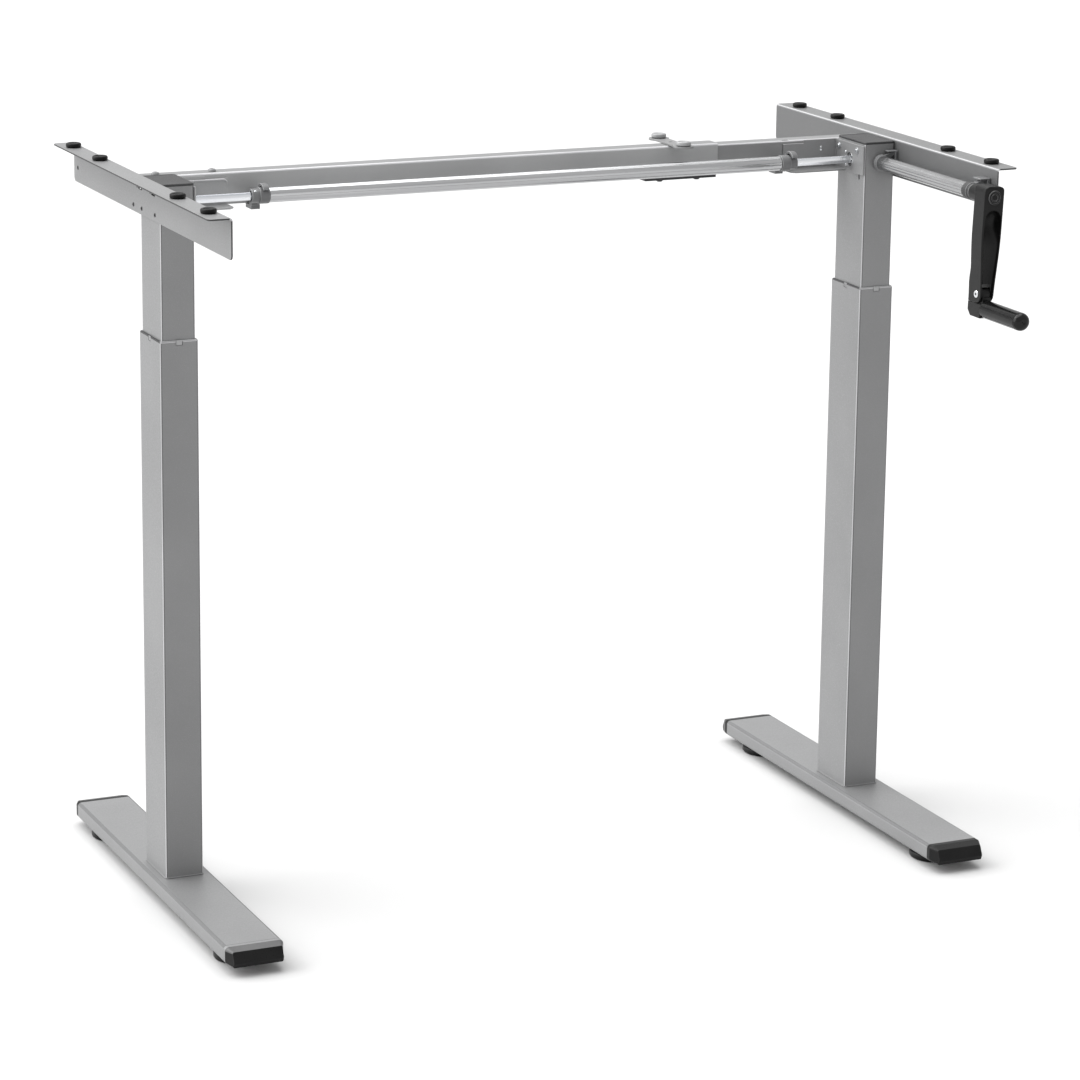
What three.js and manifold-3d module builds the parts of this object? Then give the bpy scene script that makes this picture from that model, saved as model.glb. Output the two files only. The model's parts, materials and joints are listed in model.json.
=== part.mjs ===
// Hand-cranked sit/stand desk frame: two T-shaped telescopic legs, a telescopic
// crossbeam, a drive shaft behind the front edge and a folding crank handle.
// Millimetres, +Z up, +X along the crossbeam, +Y towards the back.
// The origin is at the middle of the base; the floor is z = 0.
import * as THREE from "three";
import { ConvexGeometry } from "three/addons/geometries/ConvexGeometry.js";
import { mergeVertices } from "three/addons/utils/BufferGeometryUtils.js";
import Module from "manifold-3d";

const wasm = await Module();
wasm.setup();

// ---------------------------------------------------------------- dimensions
const GAP = 0.3; // clearance between neighbouring pieces
const SHEET = 2; // folded steel sheet

const COLUMN_X = 487.5; // column centres, left and right of the middle
const COLUMN_Y = 55; // column centres, behind the base's middle
const FRAME_TOP = 927; // top of the side angles
const SHAFT_Z = FRAME_TOP - 30; // height of the drive shaft and the crank shaft

const FOOT = { width: 75, height: 22, halfLength: 315, bottom: 13, wall: 2, radius: 4, cap: 25 };
const FOOT_TOP = FOOT.bottom + FOOT.height;
const OUTER = { x: 50, y: 80, wall: 1.5, radius: 3, bottom: FOOT_TOP + GAP, top: 729 };
const RIM = { width: 9, depth: 5, sleeve: 60 }; // notches and liner at the outer tube's mouth
const INNER = { x: 44.4, y: 74.4, wall: 1.5, radius: 2.5, bottom: 280, top: FRAME_TOP - 6 };
const INNER_FACE = INNER.x / 2; // from a column's centre to its side face
const CAP_TOP = FRAME_TOP - 3;
const LEVELLER = { y: 243, padRadius: 32, padHeight: 10, studRadius: 4.7, studTop: 30 };

const ANGLE = {
  halfLength: 301, web: 50, flange: 30, cornerRadius: 5, boltRows: [-25, 26, 58], slotRows: [-22, 28],
};
const WEB_X = INNER_FACE + GAP; // side angle's web, from a column's centre
const PAD = { radius: 9.8, height: 5.7, rows: [-260, -150, 150, 260] };

const BEAM = { front: COLUMN_Y + 38.5, depth: 25, height: 41, top: FRAME_TOP - 5, endX: 508, splitX: 287 };
const INNER_BEAM = { sheet: 1.5, leftX: -220 };
const BRACKET = { left: 69, right: 81, step: 30, top: BEAM.top - 3, bottom: BEAM.top - 42, lip: 29 };
const CLAMP = { length: 105, height: 4 };
const SUPPORT = { x: 225, width: 28, length: 98, height: 2.5, padHeight: 5.7, forward: 2 };

const ROD = { acrossFlats: 9.7, neckRadius: 3.2, leftEnd: -320, rightEnd: -80 };
const TUBE = { radius: 9.5, bore: 6, leftX: -356, rightX: 358 };
const CLIP = { length: 23, ringLength: 13, ringRadius: 10.5, bore: 6.2, armWidth: 12 };

const GEARBOX = {
  x: 40.8, y: 70.8, bottom: SHAFT_Z - 30, top: SHAFT_Z + 15.5,
  chamber: 17.9, floor: 9, shoulder: 17.6, tip: 11.4,
};
const GEAR = {
  module: 1.4, spindleTeeth: 20, pinionTeeth: 12, addendum: 0.75, dedendum: 1.1, inner: 0.7,
  thickness: 0.42, spindleHub: 8, pinionHub: 3,
};
const SCREW = { radius: 8, neckRadius: 4, bottom: 253, top: SHAFT_Z - 6.5 };
const NUT = { tubeRadius: 12.5, size: 30, bottom: 620, top: 650 };

const CRANK = {
  armRear: -252, armFront: -279, hubRear: -231, bulgeRear: -248, length: 124, above: 14, tilt: 2.5,
  topWidth: 28, pivotWidth: 19, tubeFront: -212, tubeRear: 8,
};
const PIVOT = { y: -268, ear: 11, slot: 12.6, pin: 2.5 };
const GRIP = {
  drop: 18, radius: 11.5, rear: -279.5, front: -370, pin: 4, pinFront: -330, bore: 4.4, boreFront: -335,
};

// ----------------------------------------------------------------- materials
function material(colour, roughness, metalness) {
  return new THREE.MeshStandardMaterial({ color: colour, roughness, metalness });
}

const powderCoat = material(0x9a9b9c, 0.5, 0.35);
const zinc = material(0xc9cdd2, 0.25, 0.9);
const aluminium = material(0xd4d6d8, 0.3, 0.85);
const steel = material(0x8f9195, 0.4, 0.8);
const blackPlastic = material(0x2c2d2e, 0.6, 0);
const greyPlastic = material(0x5d5f61, 0.6, 0);
const rubber = material(0x151515, 0.8, 0);
const palePlastic = material(0xa8a9aa, 0.5, 0);
const brass = material(0xb59a52, 0.4, 0.8);

// ------------------------------------------------------------- solid helpers
// A three.js geometry as a solid.
function solid(geometry) {
  const bare = geometry.clone();
  bare.deleteAttribute("normal");
  bare.deleteAttribute("uv");
  const merged = mergeVertices(bare, 1e-4);
  return new wasm.Manifold(
    new wasm.Mesh({
      numProp: 3,
      vertProperties: new Float32Array(merged.attributes.position.array),
      triVerts: new Uint32Array(merged.index.array),
    }),
  );
}

// A solid as a three.js geometry.
function geometryOf(made) {
  const mesh = made.getMesh();
  const geometry = new THREE.BufferGeometry();
  geometry.setAttribute("position", new THREE.BufferAttribute(mesh.vertProperties, 3));
  geometry.setIndex(new THREE.BufferAttribute(mesh.triVerts, 1));
  geometry.computeVertexNormals();
  return geometry;
}

function union(...solids) {
  return solids.reduce((sum, next) => sum.add(next));
}

// A box between two corners.
function box([x0, x1], [y0, y1], [z0, z1]) {
  const geometry = new THREE.BoxGeometry(x1 - x0, y1 - y0, z1 - z0);
  geometry.translate((x0 + x1) / 2, (y0 + y1) / 2, (z0 + z1) / 2);
  return solid(geometry);
}

// Maps a geometry's own (x, y, z) to the object's axes for a rod along the named axis:
// the rod's length is the geometry's z.
const ALONG = {
  x: new THREE.Matrix4().makeBasis(
    new THREE.Vector3(0, 1, 0), new THREE.Vector3(0, 0, 1), new THREE.Vector3(1, 0, 0)),
  y: new THREE.Matrix4().makeBasis(
    new THREE.Vector3(0, 0, 1), new THREE.Vector3(1, 0, 0), new THREE.Vector3(0, 1, 0)),
  z: new THREE.Matrix4(),
};

// A round bar along an axis, between two places on it, centred on (a, b):
// (y, z) for axis x, (z, x) for axis y, (x, y) for axis z.
function bar(axis, [from, to], [a, b], radius, sides = 24) {
  const geometry = new THREE.CylinderGeometry(radius, radius, to - from, sides);
  geometry.rotateX(Math.PI / 2);
  geometry.translate(a, b, (from + to) / 2);
  geometry.applyMatrix4(ALONG[axis]);
  return solid(geometry);
}

// A flat outline pushed along an axis; the outline's own axes are as in bar.
function prism(axis, [from, to], outline) {
  const settings = { depth: to - from, bevelEnabled: false, curveSegments: 2 };
  const geometry = new THREE.ExtrudeGeometry(outline, settings);
  geometry.translate(0, 0, from);
  geometry.applyMatrix4(ALONG[axis]);
  return solid(geometry);
}

// A rectangle with round corners, centred on (cx, cy).
function roundedRectangle(width, height, radius, cx = 0, cy = 0) {
  const x = width / 2;
  const y = height / 2;
  const shape = new THREE.Shape();
  shape.moveTo(cx - x + radius, cy - y);
  shape.lineTo(cx + x - radius, cy - y);
  shape.absarc(cx + x - radius, cy - y + radius, radius, -Math.PI / 2, 0);
  shape.lineTo(cx + x, cy + y - radius);
  shape.absarc(cx + x - radius, cy + y - radius, radius, 0, Math.PI / 2);
  shape.lineTo(cx - x + radius, cy + y);
  shape.absarc(cx - x + radius, cy + y - radius, radius, Math.PI / 2, Math.PI);
  shape.lineTo(cx - x, cy - y + radius);
  shape.absarc(cx - x + radius, cy - y + radius, radius, Math.PI, Math.PI * 1.5);
  return shape;
}

function polygon(points) {
  return new THREE.Shape(points.map(([x, y]) => new THREE.Vector2(x, y)));
}

// A solid of revolution about an axis through (a, b); profile is [radius, place on the axis].
function turned(axis, [a, b], profile, sides = 24) {
  const points = profile.map(([radius, place]) => new THREE.Vector2(radius, place));
  const geometry = new THREE.LatheGeometry(points, sides);
  geometry.rotateX(Math.PI / 2);
  geometry.translate(a, b, 0);
  geometry.applyMatrix4(ALONG[axis]);
  return solid(geometry);
}

// The convex solid between flat outlines at places along an axis: [[place, outline], ...].
function loft(axis, sections) {
  const points = [];
  for (const [at, outline] of sections) {
    for (const point of outline.getPoints(2)) {
      points.push(new THREE.Vector3(point.x, point.y, at).applyMatrix4(ALONG[axis]));
    }
  }
  return solid(new ConvexGeometry(points));
}

const desk = new THREE.Group();

function place(name, made, look, parent = desk) {
  const mesh = new THREE.Mesh(geometryOf(made), look);
  mesh.name = name;
  parent.add(mesh);
  return mesh;
}

// The x range from near to far of a column's centre, measured outwards;
// side is -1 at the left column and 1 at the right.
function outward(side, near, far) {
  return side > 0 ? [near, far] : [-far, -near];
}

function inward(side, near, far) {
  return outward(-side, near, far);
}

// --------------------------------------------------------------------- feet
// The foot's section, an upright rounded rectangle across the foot, grown by a margin.
function footSection(margin, radius) {
  const middle = FOOT.bottom + FOOT.height / 2;
  return roundedRectangle(FOOT.height + 2 * margin, FOOT.width + 2 * margin, radius, middle);
}

function footTube() {
  const end = FOOT.halfLength - FOOT.cap;
  const insertTop = LEVELLER.studTop + 1;
  const skin = prism("y", [-end, end], footSection(0, FOOT.radius));
  let made = skin.subtract(prism("y", [-end - 1, end + 1], footSection(-FOOT.wall, 2)));
  for (const y of [-LEVELLER.y, LEVELLER.y]) {
    const insert = bar("z", [FOOT.bottom + 1, insertTop], [0, y], LEVELLER.studRadius + 3);
    const thread = bar("z", [FOOT.bottom - 1, insertTop + 1], [0, y], LEVELLER.studRadius + GAP);
    made = made.add(insert).subtract(thread);
  }
  return made;
}

// A moulded end cap: a plug inside the foot's rear end and a block bevelled on all four sides.
function footCap() {
  const start = FOOT.halfLength - FOOT.cap + GAP;
  const middle = FOOT.bottom + FOOT.height / 2;
  const front = roundedRectangle(FOOT.height - 6, FOOT.width - 16, 2, middle);
  const block = loft("y", [
    [start, footSection(0, FOOT.radius)],
    [start + 8, footSection(0, FOOT.radius)],
    [FOOT.halfLength, front],
  ]);
  return block.add(prism("y", [start - 12, start + 1], footSection(-FOOT.wall - GAP, 1.5)));
}

function leveller(y) {
  const { padRadius, padHeight, studRadius, studTop } = LEVELLER;
  const hubTop = FOOT.bottom - 2 * GAP;
  return turned("z", [0, y], [
    [0, 0], [padRadius - 2, 0], [padRadius, 1.5], [padRadius, padHeight - 2], [padRadius - 3, padHeight],
    [12, padHeight + 1], [10, hubTop], [studRadius, hubTop], [studRadius, studTop], [0, studTop],
  ]);
}

// ------------------------------------------------------------------ columns
function tubeOutline({ x, y, radius }, margin) {
  return roundedRectangle(x + 2 * margin, y + 2 * margin, Math.max(radius + margin, 0.8));
}

function squareTube(tube, [bottom, top]) {
  const skin = prism("z", [bottom, top], tubeOutline(tube, 0));
  return skin.subtract(prism("z", [bottom - 1, top + 1], tubeOutline(tube, -tube.wall)));
}

// The notch or tab in the middle of each face at the outer tube's rim, as two crossed bars.
function rimCross(width, [bottom, top], reach) {
  const across = box([-OUTER.x / 2 - reach, OUTER.x / 2 + reach], [-width / 2, width / 2], [bottom, top]);
  const along = box([-width / 2, width / 2], [-OUTER.y / 2 - reach, OUTER.y / 2 + reach], [bottom, top]);
  return across.add(along);
}

function outerTube() {
  const notch = rimCross(RIM.width, [OUTER.top - RIM.depth, OUTER.top + 1], 1);
  return squareTube(OUTER, [OUTER.bottom, OUTER.top]).subtract(notch);
}

// Plastic liner in the outer tube's mouth, held by a tab in each notch.
function glideSleeve() {
  const tabs = rimCross(RIM.width - 2 * GAP, [OUTER.top - RIM.depth + GAP, OUTER.top + 1], 0.5);
  const liner = prism("z", [OUTER.top - RIM.sleeve, OUTER.top + 1], tubeOutline(OUTER, -OUTER.wall - GAP));
  const passage = prism(
    "z", [OUTER.top - RIM.sleeve - 1, OUTER.top + 2], tubeOutline(INNER, GAP));
  return liner.add(tabs).subtract(passage);
}

// The inner tube, with a hole for each shaft that runs into the gearbox.
function innerTube(side) {
  const rodHole = bar("x", inward(side, INNER_FACE - 3, INNER_FACE + 1), [0, SHAFT_Z], 8);
  const made = squareTube(INNER, [INNER.bottom, INNER.top]).subtract(rodHole);
  if (side < 0) {
    return made;
  }
  return made.subtract(bar("y", [-INNER.y / 2 - 1, -INNER.y / 2 + 3], [SHAFT_Z, 0], 8));
}

function tubeCap() {
  const plug = prism("z", [GEARBOX.top + GAP, INNER.top + 1], tubeOutline(INNER, -INNER.wall - GAP));
  return plug.add(prism("z", [INNER.top + GAP, CAP_TOP], tubeOutline(INNER, 0)));
}

// -------------------------------------------------------------- side angles
// Folded L: an upright web bolted to the column's outer face and a flange for the table top.
function sideAngle(side) {
  const { halfLength, web, flange, cornerRadius } = ANGLE;
  const bottom = FRAME_TOP - web;
  const webOutline = new THREE.Shape();
  webOutline.moveTo(-halfLength, FRAME_TOP);
  webOutline.lineTo(-halfLength, bottom + cornerRadius);
  webOutline.absarc(-halfLength + cornerRadius, bottom + cornerRadius, cornerRadius, Math.PI, Math.PI * 1.5);
  webOutline.lineTo(halfLength - cornerRadius, bottom);
  webOutline.absarc(halfLength - cornerRadius, bottom + cornerRadius, cornerRadius, -Math.PI / 2, 0);
  webOutline.lineTo(halfLength, FRAME_TOP);
  const middle = side * (WEB_X + flange / 2);
  const plate = prism(
    "z", [FRAME_TOP - SHEET, FRAME_TOP], roundedRectangle(flange, 2 * halfLength, cornerRadius, middle));
  const fold = box(outward(side, WEB_X, WEB_X + flange / 2), [-halfLength, halfLength],
    [FRAME_TOP - SHEET, FRAME_TOP]);
  let made = union(prism("x", outward(side, WEB_X, WEB_X + SHEET), webOutline), plate, fold);
  const through = outward(side, WEB_X - 1, WEB_X + SHEET + 1);
  for (const y of ANGLE.boltRows) {
    made = made.subtract(bar("x", through, [y, bottom + 8], 2.6, 12));
  }
  for (const y of ANGLE.slotRows) {
    made = made.subtract(box(through, [y - 5, y + 5], [FRAME_TOP - 12, FRAME_TOP - 8.5]));
  }
  return made;
}

function topPad() {
  const top = FRAME_TOP + GAP + PAD.height;
  return turned("z", [0, 0], [
    [0, FRAME_TOP + GAP], [PAD.radius - 0.8, FRAME_TOP + GAP], [PAD.radius, FRAME_TOP + GAP + 1],
    [PAD.radius, top - 1], [PAD.radius - 1, top], [0, top],
  ]);
}

// -------------------------------------------------------------- crossbeam
// A folded channel, open to the rear.
function channel([left, right], front, [bottom, top], sheet, rear) {
  const outside = box([left, right], [front, rear], [bottom, top]);
  const inside = box([left - 1, right + 1], [front + sheet, rear + 1], [bottom + sheet, top - sheet]);
  return outside.subtract(inside);
}

function outerBeam() {
  const rear = BEAM.front + BEAM.depth;
  return channel([-BEAM.endX, BEAM.splitX], BEAM.front, [BEAM.top - BEAM.height, BEAM.top], SHEET, rear);
}

function innerBeam() {
  const step = SHEET + GAP;
  const heights = [BEAM.top - BEAM.height + step, BEAM.top - step];
  const rear = BEAM.front + BEAM.depth - 0.5;
  return channel([INNER_BEAM.leftX, BEAM.endX], BEAM.front + step, heights, INNER_BEAM.sheet, rear);
}

// The bracket on a column's inner face: an end flange against the tube, a plate in front of
// the beam's web and a lip under it.  plateFront is the plate's front face.
function bracket(side, length, plateFront) {
  const { top, bottom, lip } = BRACKET;
  const start = INNER_FACE + GAP;
  const plateRear = plateFront + SHEET;
  const endFlange = box(inward(side, start, start + SHEET), [-INNER.y / 2, plateRear], [bottom, top]);
  const plateOutline = polygon([
    [plateFront, bottom], [plateRear, bottom], [plateRear, top - 4], [plateFront, top - 4],
  ]);
  const plate = prism("x", inward(side, start, start + length), plateOutline);
  const step = box(inward(side, start, start + length - BRACKET.step), [plateFront, plateRear],
    [bottom, top]);
  const reach = start + length;
  const lipOutline = polygon([
    [-side * start, plateRear], [-side * start, plateRear - lip], [-side * (reach - 6), plateRear - lip],
    [-side * reach, plateRear - lip + 6], [-side * reach, plateRear],
  ]);
  const lipPlate = prism("z", [bottom, bottom + SHEET], lipOutline);
  const rodHole = bar("x", inward(side, start - 1, start + SHEET + 1), [0, SHAFT_Z], 9);
  return union(endFlange, plate, step, lipPlate).subtract(rodHole);
}

// A strip that clamps the two beam sections together, under the end of the outer one.
function clampStrip() {
  const top = BEAM.top - BEAM.height - GAP;
  const { splitX, front, depth } = BEAM;
  return box([splitX - CLAMP.length, splitX - 1], [front + 1, front + depth - 2], [top - CLAMP.height, top]);
}

function supportBar() {
  const { x, width, length, height } = SUPPORT;
  const middle = BEAM.front + BEAM.depth / 2 + SUPPORT.forward;
  const bottom = BEAM.top + GAP;
  return prism("z", [bottom, bottom + height], roundedRectangle(width, length, 3, x, middle));
}

function supportPad(end) {
  const y = BEAM.front + BEAM.depth / 2 + SUPPORT.forward + end * (SUPPORT.length / 2 - 12);
  const bottom = BEAM.top + 2 * GAP + SUPPORT.height;
  return bar("z", [bottom, bottom + SUPPORT.padHeight], [SUPPORT.x, y], PAD.radius);
}

// -------------------------------------------------------------- drive shaft
function hexagon(a, b) {
  const radius = ROD.acrossFlats / Math.sqrt(3);
  const corners = [0, 1, 2, 3, 4, 5].map((corner) => (corner * Math.PI) / 3);
  return polygon(corners.map((turn) => [a + radius * Math.cos(turn), b + radius * Math.sin(turn)]));
}

// A hexagon rod from the gearbox at gearEnd to farEnd, with a round neck in its pinion.
// inwards is the direction from farEnd to the gears, 1 or -1.
function hexRod(axis, [a, b], apex, farEnd, inwards) {
  const shoulder = apex - inwards * GEARBOX.shoulder;
  const tip = apex - inwards * GEARBOX.tip;
  const rod = prism(axis, [Math.min(farEnd, shoulder), Math.max(farEnd, shoulder)], hexagon(a, b));
  const neckStart = shoulder - inwards;
  const neck = bar(axis, [Math.min(neckStart, tip), Math.max(neckStart, tip)], [a, b], ROD.neckRadius, 16);
  return rod.add(neck);
}

function pipe(axis, [from, to], centre) {
  return bar(axis, [from, to], centre, TUBE.radius, 24).subtract(
    bar(axis, [from - 1, to + 1], centre, TUBE.bore, 24));
}

// A plastic bearing clip: a ring round the rod, an arm to the beam's web and a toe under the beam.
// ringStart is the ring's end next to the drive tube, and direction leads away from the tube.
function rodClip(ringStart, direction, webFront, beamBottom) {
  const span = (near, far) => [
    Math.min(ringStart + direction * near, ringStart + direction * far),
    Math.max(ringStart + direction * near, ringStart + direction * far),
  ];
  const centre = [COLUMN_Y, SHAFT_Z];
  const full = span(0, CLIP.length);
  const right = [full[1] - CLIP.armWidth, full[1]];
  const post = [webFront - 8, webFront - GAP];
  const toeTop = beamBottom - GAP;
  return union(
    bar("x", span(0, CLIP.ringLength), centre, CLIP.ringRadius),
    bar("x", full, centre, CLIP.ringRadius - 1.5),
    box(right, [COLUMN_Y, webFront - GAP], [SHAFT_Z - 8, SHAFT_Z]),
    box(right, post, [toeTop - 6, SHAFT_Z]),
    box(right, [webFront - 8, webFront + 10], [toeTop - 6, toeTop]),
  ).subtract(bar("x", [full[0] - 1, full[1] + 1], centre, CLIP.bore));
}

// ----------------------------------------------------------------- gearbox
// Bevel gear with its cone's apex at the origin and its axis along +Z, away from the apex.
// phase turns the first tooth, in tooth pitches.
function bevelGear(teeth, mateTeeth, bore, hub, phase) {
  const radius = (GEAR.module * teeth) / 2;
  const mateRadius = (GEAR.module * mateTeeth) / 2;
  const cone = Math.atan2(radius, mateRadius);
  const pitch = (2 * Math.PI) / teeth;
  const crest = GEAR.addendum * GEAR.module;
  const root = -GEAR.dedendum * GEAR.module;
  const halfAngle = (height) =>
    pitch * (GEAR.thickness / 2 - (height * Math.tan(Math.PI / 9)) / (Math.PI * GEAR.module));
  // Each tooth has four corners: root, crest, crest, root.
  const corners = [];
  for (let tooth = 0; tooth < teeth; tooth += 1) {
    const middle = (tooth + phase) * pitch;
    corners.push([middle - halfAngle(root), root], [middle - halfAngle(crest), crest]);
    corners.push([middle + halfAngle(crest), crest], [middle + halfAngle(root), root]);
  }
  const toothRing = (scale) => corners.map(([turn, height]) => {
    const r = (radius + height * Math.cos(cone)) * scale;
    const z = (mateRadius - height * Math.sin(cone)) * scale;
    return [r * Math.cos(turn), r * Math.sin(turn), z];
  });
  const flatRing = (r, z) => corners.map(([turn]) => [r * Math.cos(turn), r * Math.sin(turn), z]);
  const back = mateRadius + hub;
  const front = mateRadius * GEAR.inner + 0.5;
  const rings = [
    flatRing(bore, front),
    toothRing(GEAR.inner),
    toothRing(1),
    flatRing(radius * 0.8, back),
    flatRing(bore, back),
  ];
  return ringGeometry(rings);
}

// The geometry of a closed ring of quads through successive rings of equally many points.
function ringGeometry(rings) {
  const count = rings[0].length;
  const index = [];
  rings.forEach((ring, i) => {
    const next = ((i + 1) % rings.length) * count;
    for (let j = 0; j < count; j += 1) {
      const k = (j + 1) % count;
      index.push(i * count + j, i * count + k, next + k);
      index.push(i * count + j, next + k, next + j);
    }
  });
  const geometry = new THREE.BufferGeometry();
  geometry.setAttribute("position", new THREE.Float32BufferAttribute(rings.flat(2), 3));
  geometry.setIndex(index);
  return geometry;
}

// A bevel gear whose axis points along a direction from the apex, inside a column's gearbox.
function placeGear(name, geometry, direction, look, parent) {
  const mesh = new THREE.Mesh(geometry, look);
  mesh.name = name;
  mesh.position.set(0, 0, SHAFT_Z);
  mesh.quaternion.setFromUnitVectors(new THREE.Vector3(0, 0, 1), direction);
  parent.add(mesh);
}

// The housing fills the top of the inner tube; the shafts and the lead screw come in through bores.
function gearHousing(side) {
  const { x, y, bottom, top, chamber, floor } = GEARBOX;
  const block = box([-x / 2, x / 2], [-y / 2, y / 2], [bottom, top]);
  const hollow = box([-chamber, chamber], [-chamber, chamber], [bottom + floor, top - 2]);
  const rodBore = bar("x", inward(side, chamber - 1, x), [0, SHAFT_Z], CLIP.bore);
  const screwBore = bar("z", [bottom - 1, bottom + floor + 1], [0, 0], SCREW.neckRadius + 2 * GAP, 16);
  const made = block.subtract(hollow).subtract(rodBore).subtract(screwBore);
  if (side < 0) {
    return made;
  }
  return made.subtract(bar("y", [-y, -chamber + 1], [SHAFT_Z, 0], CLIP.bore));
}

function leadScrew() {
  const shoulder = GEARBOX.bottom - 2;
  const body = bar("z", [SCREW.bottom, shoulder], [0, 0], SCREW.radius, 20);
  return body.add(bar("z", [shoulder - 1, SCREW.top], [0, 0], SCREW.neckRadius, 16));
}

// The nut stands on a tube welded to a plate at the foot of the outer tube.
function liftNut() {
  const base = OUTER.bottom;
  const half = NUT.size / 2;
  return union(
    box([-20, 20], [-35, 35], [base, base + 4]),
    bar("z", [base + 3, NUT.bottom + 1], [0, 0], NUT.tubeRadius),
    box([-half, half], [-half, half], [NUT.bottom, NUT.top]),
  ).subtract(bar("z", [base - 1, NUT.top + 1], [0, 0], SCREW.radius + GAP, 20));
}

// -------------------------------------------------------------------- crank
// A clip on the right side angle's web that carries the crank shaft: ring, strut and tee.
function crankClip([front, rear]) {
  const web = COLUMN_X + WEB_X - GAP;
  const centre = [SHAFT_Z, COLUMN_X];
  return union(
    bar("y", [front, rear], centre, CLIP.ringRadius),
    box([COLUMN_X + 8, web], [front, rear], [SHAFT_Z - 4, SHAFT_Z + 4]),
    box([web - 5, web], [front, rear], [SHAFT_Z - 8, SHAFT_Z + 16]),
    box([web - 13, web], [front, rear], [SHAFT_Z + 14, SHAFT_Z + 16]),
  ).subtract(bar("y", [front - 1, rear + 1], centre, CLIP.bore));
}

// The arm seen from the front, about the crank's axis; outline points are (z, x).
function armOutline() {
  const { above, length, topWidth, pivotWidth } = CRANK;
  const wide = topWidth / 2;
  const narrow = pivotWidth / 2;
  const low = -length - PIVOT.ear;
  const outline = new THREE.Shape();
  outline.moveTo(above - 6, -wide);
  outline.absarc(above - 6, -wide + 6, 6, -Math.PI / 2, 0);
  outline.lineTo(above, wide - 6);
  outline.absarc(above - 6, wide - 6, 6, 0, Math.PI / 2);
  outline.lineTo(-length * 0.35, wide);
  outline.quadraticCurveTo(-length * 0.75, wide - 1, -length, narrow);
  outline.lineTo(low, narrow);
  outline.lineTo(low, -narrow);
  outline.lineTo(-length, -narrow);
  outline.quadraticCurveTo(-length * 0.75, -wide + 1, -length * 0.35, -wide);
  return outline;
}

function crankArm() {
  const { armFront, armRear, hubRear, bulgeRear, length, pivotWidth } = CRANK;
  const low = -length - PIVOT.ear;
  const section = (from, to) => polygon([
    [from, -pivotWidth / 2], [to, -pivotWidth / 2], [to, pivotWidth / 2], [from, pivotWidth / 2],
  ]);
  const bulge = loft("y", [[armRear - 1, section(low, low + 55)], [bulgeRear, section(low, low + 25)]]);
  const hub = bar("y", [armRear - 1, hubRear], [0, 0], 11);
  const ear = bar("x", [-20, 20], [PIVOT.y, -length], PIVOT.ear);
  const lowerFront = box([-20, 20], [armFront - 1, PIVOT.y], [low - 1, -length]);
  const slot = box([-PIVOT.slot / 2, PIVOT.slot / 2], [armFront - 1, bulgeRear + 1], [low - 1, -length + 13]);
  const nest = bar("z", [-length + 7, -12], [0, PIVOT.y - GRIP.drop], GRIP.radius + 2 * GAP);
  const recess = bar("z", [-length * 0.75, -12], [0, PIVOT.y - GRIP.drop + 4], 12);
  const socket = bar("y", [armFront + 6, hubRear + 1], [0, 0], TUBE.bore);
  const pinHole = bar("x", [-20, 20], [PIVOT.y, -length], PIVOT.pin + GAP, 16);
  return prism("y", [armFront, armRear], armOutline())
    .add(bulge)
    .add(hub)
    .subtract(lowerFront.subtract(ear))
    .subtract(slot)
    .subtract(nest)
    .subtract(recess)
    .subtract(socket)
    .subtract(pinHole);
}

// The knuckle folds between the arm's ears and carries the grip's pin.
function gripKnuckle() {
  const { length, armFront, bulgeRear, pivotWidth } = CRANK;
  const top = -length - PIVOT.ear - 2 * GAP;
  const half = pivotWidth / 2 - 0.5;
  const tongue = PIVOT.slot / 2 - GAP;
  return union(
    box([-half, half], [armFront, bulgeRear], [-length - GRIP.drop - GRIP.radius, top]),
    box([-tongue, tongue], [PIVOT.y - 8, PIVOT.y + 8], [top - 1, -length]),
    bar("x", [-tongue, tongue], [PIVOT.y, -length], 8),
    bar("y", [GRIP.pinFront, armFront + 1], [-length - GRIP.drop, 0], GRIP.pin, 16),
  ).subtract(bar("x", [-20, 20], [PIVOT.y, -length], PIVOT.pin + GAP, 16));
}

function crankGrip() {
  const { radius, front, rear, bore, boreFront } = GRIP;
  return turned("y", [-CRANK.length - GRIP.drop, 0], [
    [0, front + 1.2], [2, front + 0.4], [5, front], [radius - 3, front + 1.5], [radius - 0.8, front + 4],
    [radius, front + 8], [radius, rear - 1], [radius - 1, rear], [bore, rear], [bore, boreFront],
    [0, boreFront],
  ]);
}

// ----------------------------------------------------------------- assembly
const DOWN = new THREE.Vector3(0, 0, -1);
const beamBottom = BEAM.top - BEAM.height;

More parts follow.
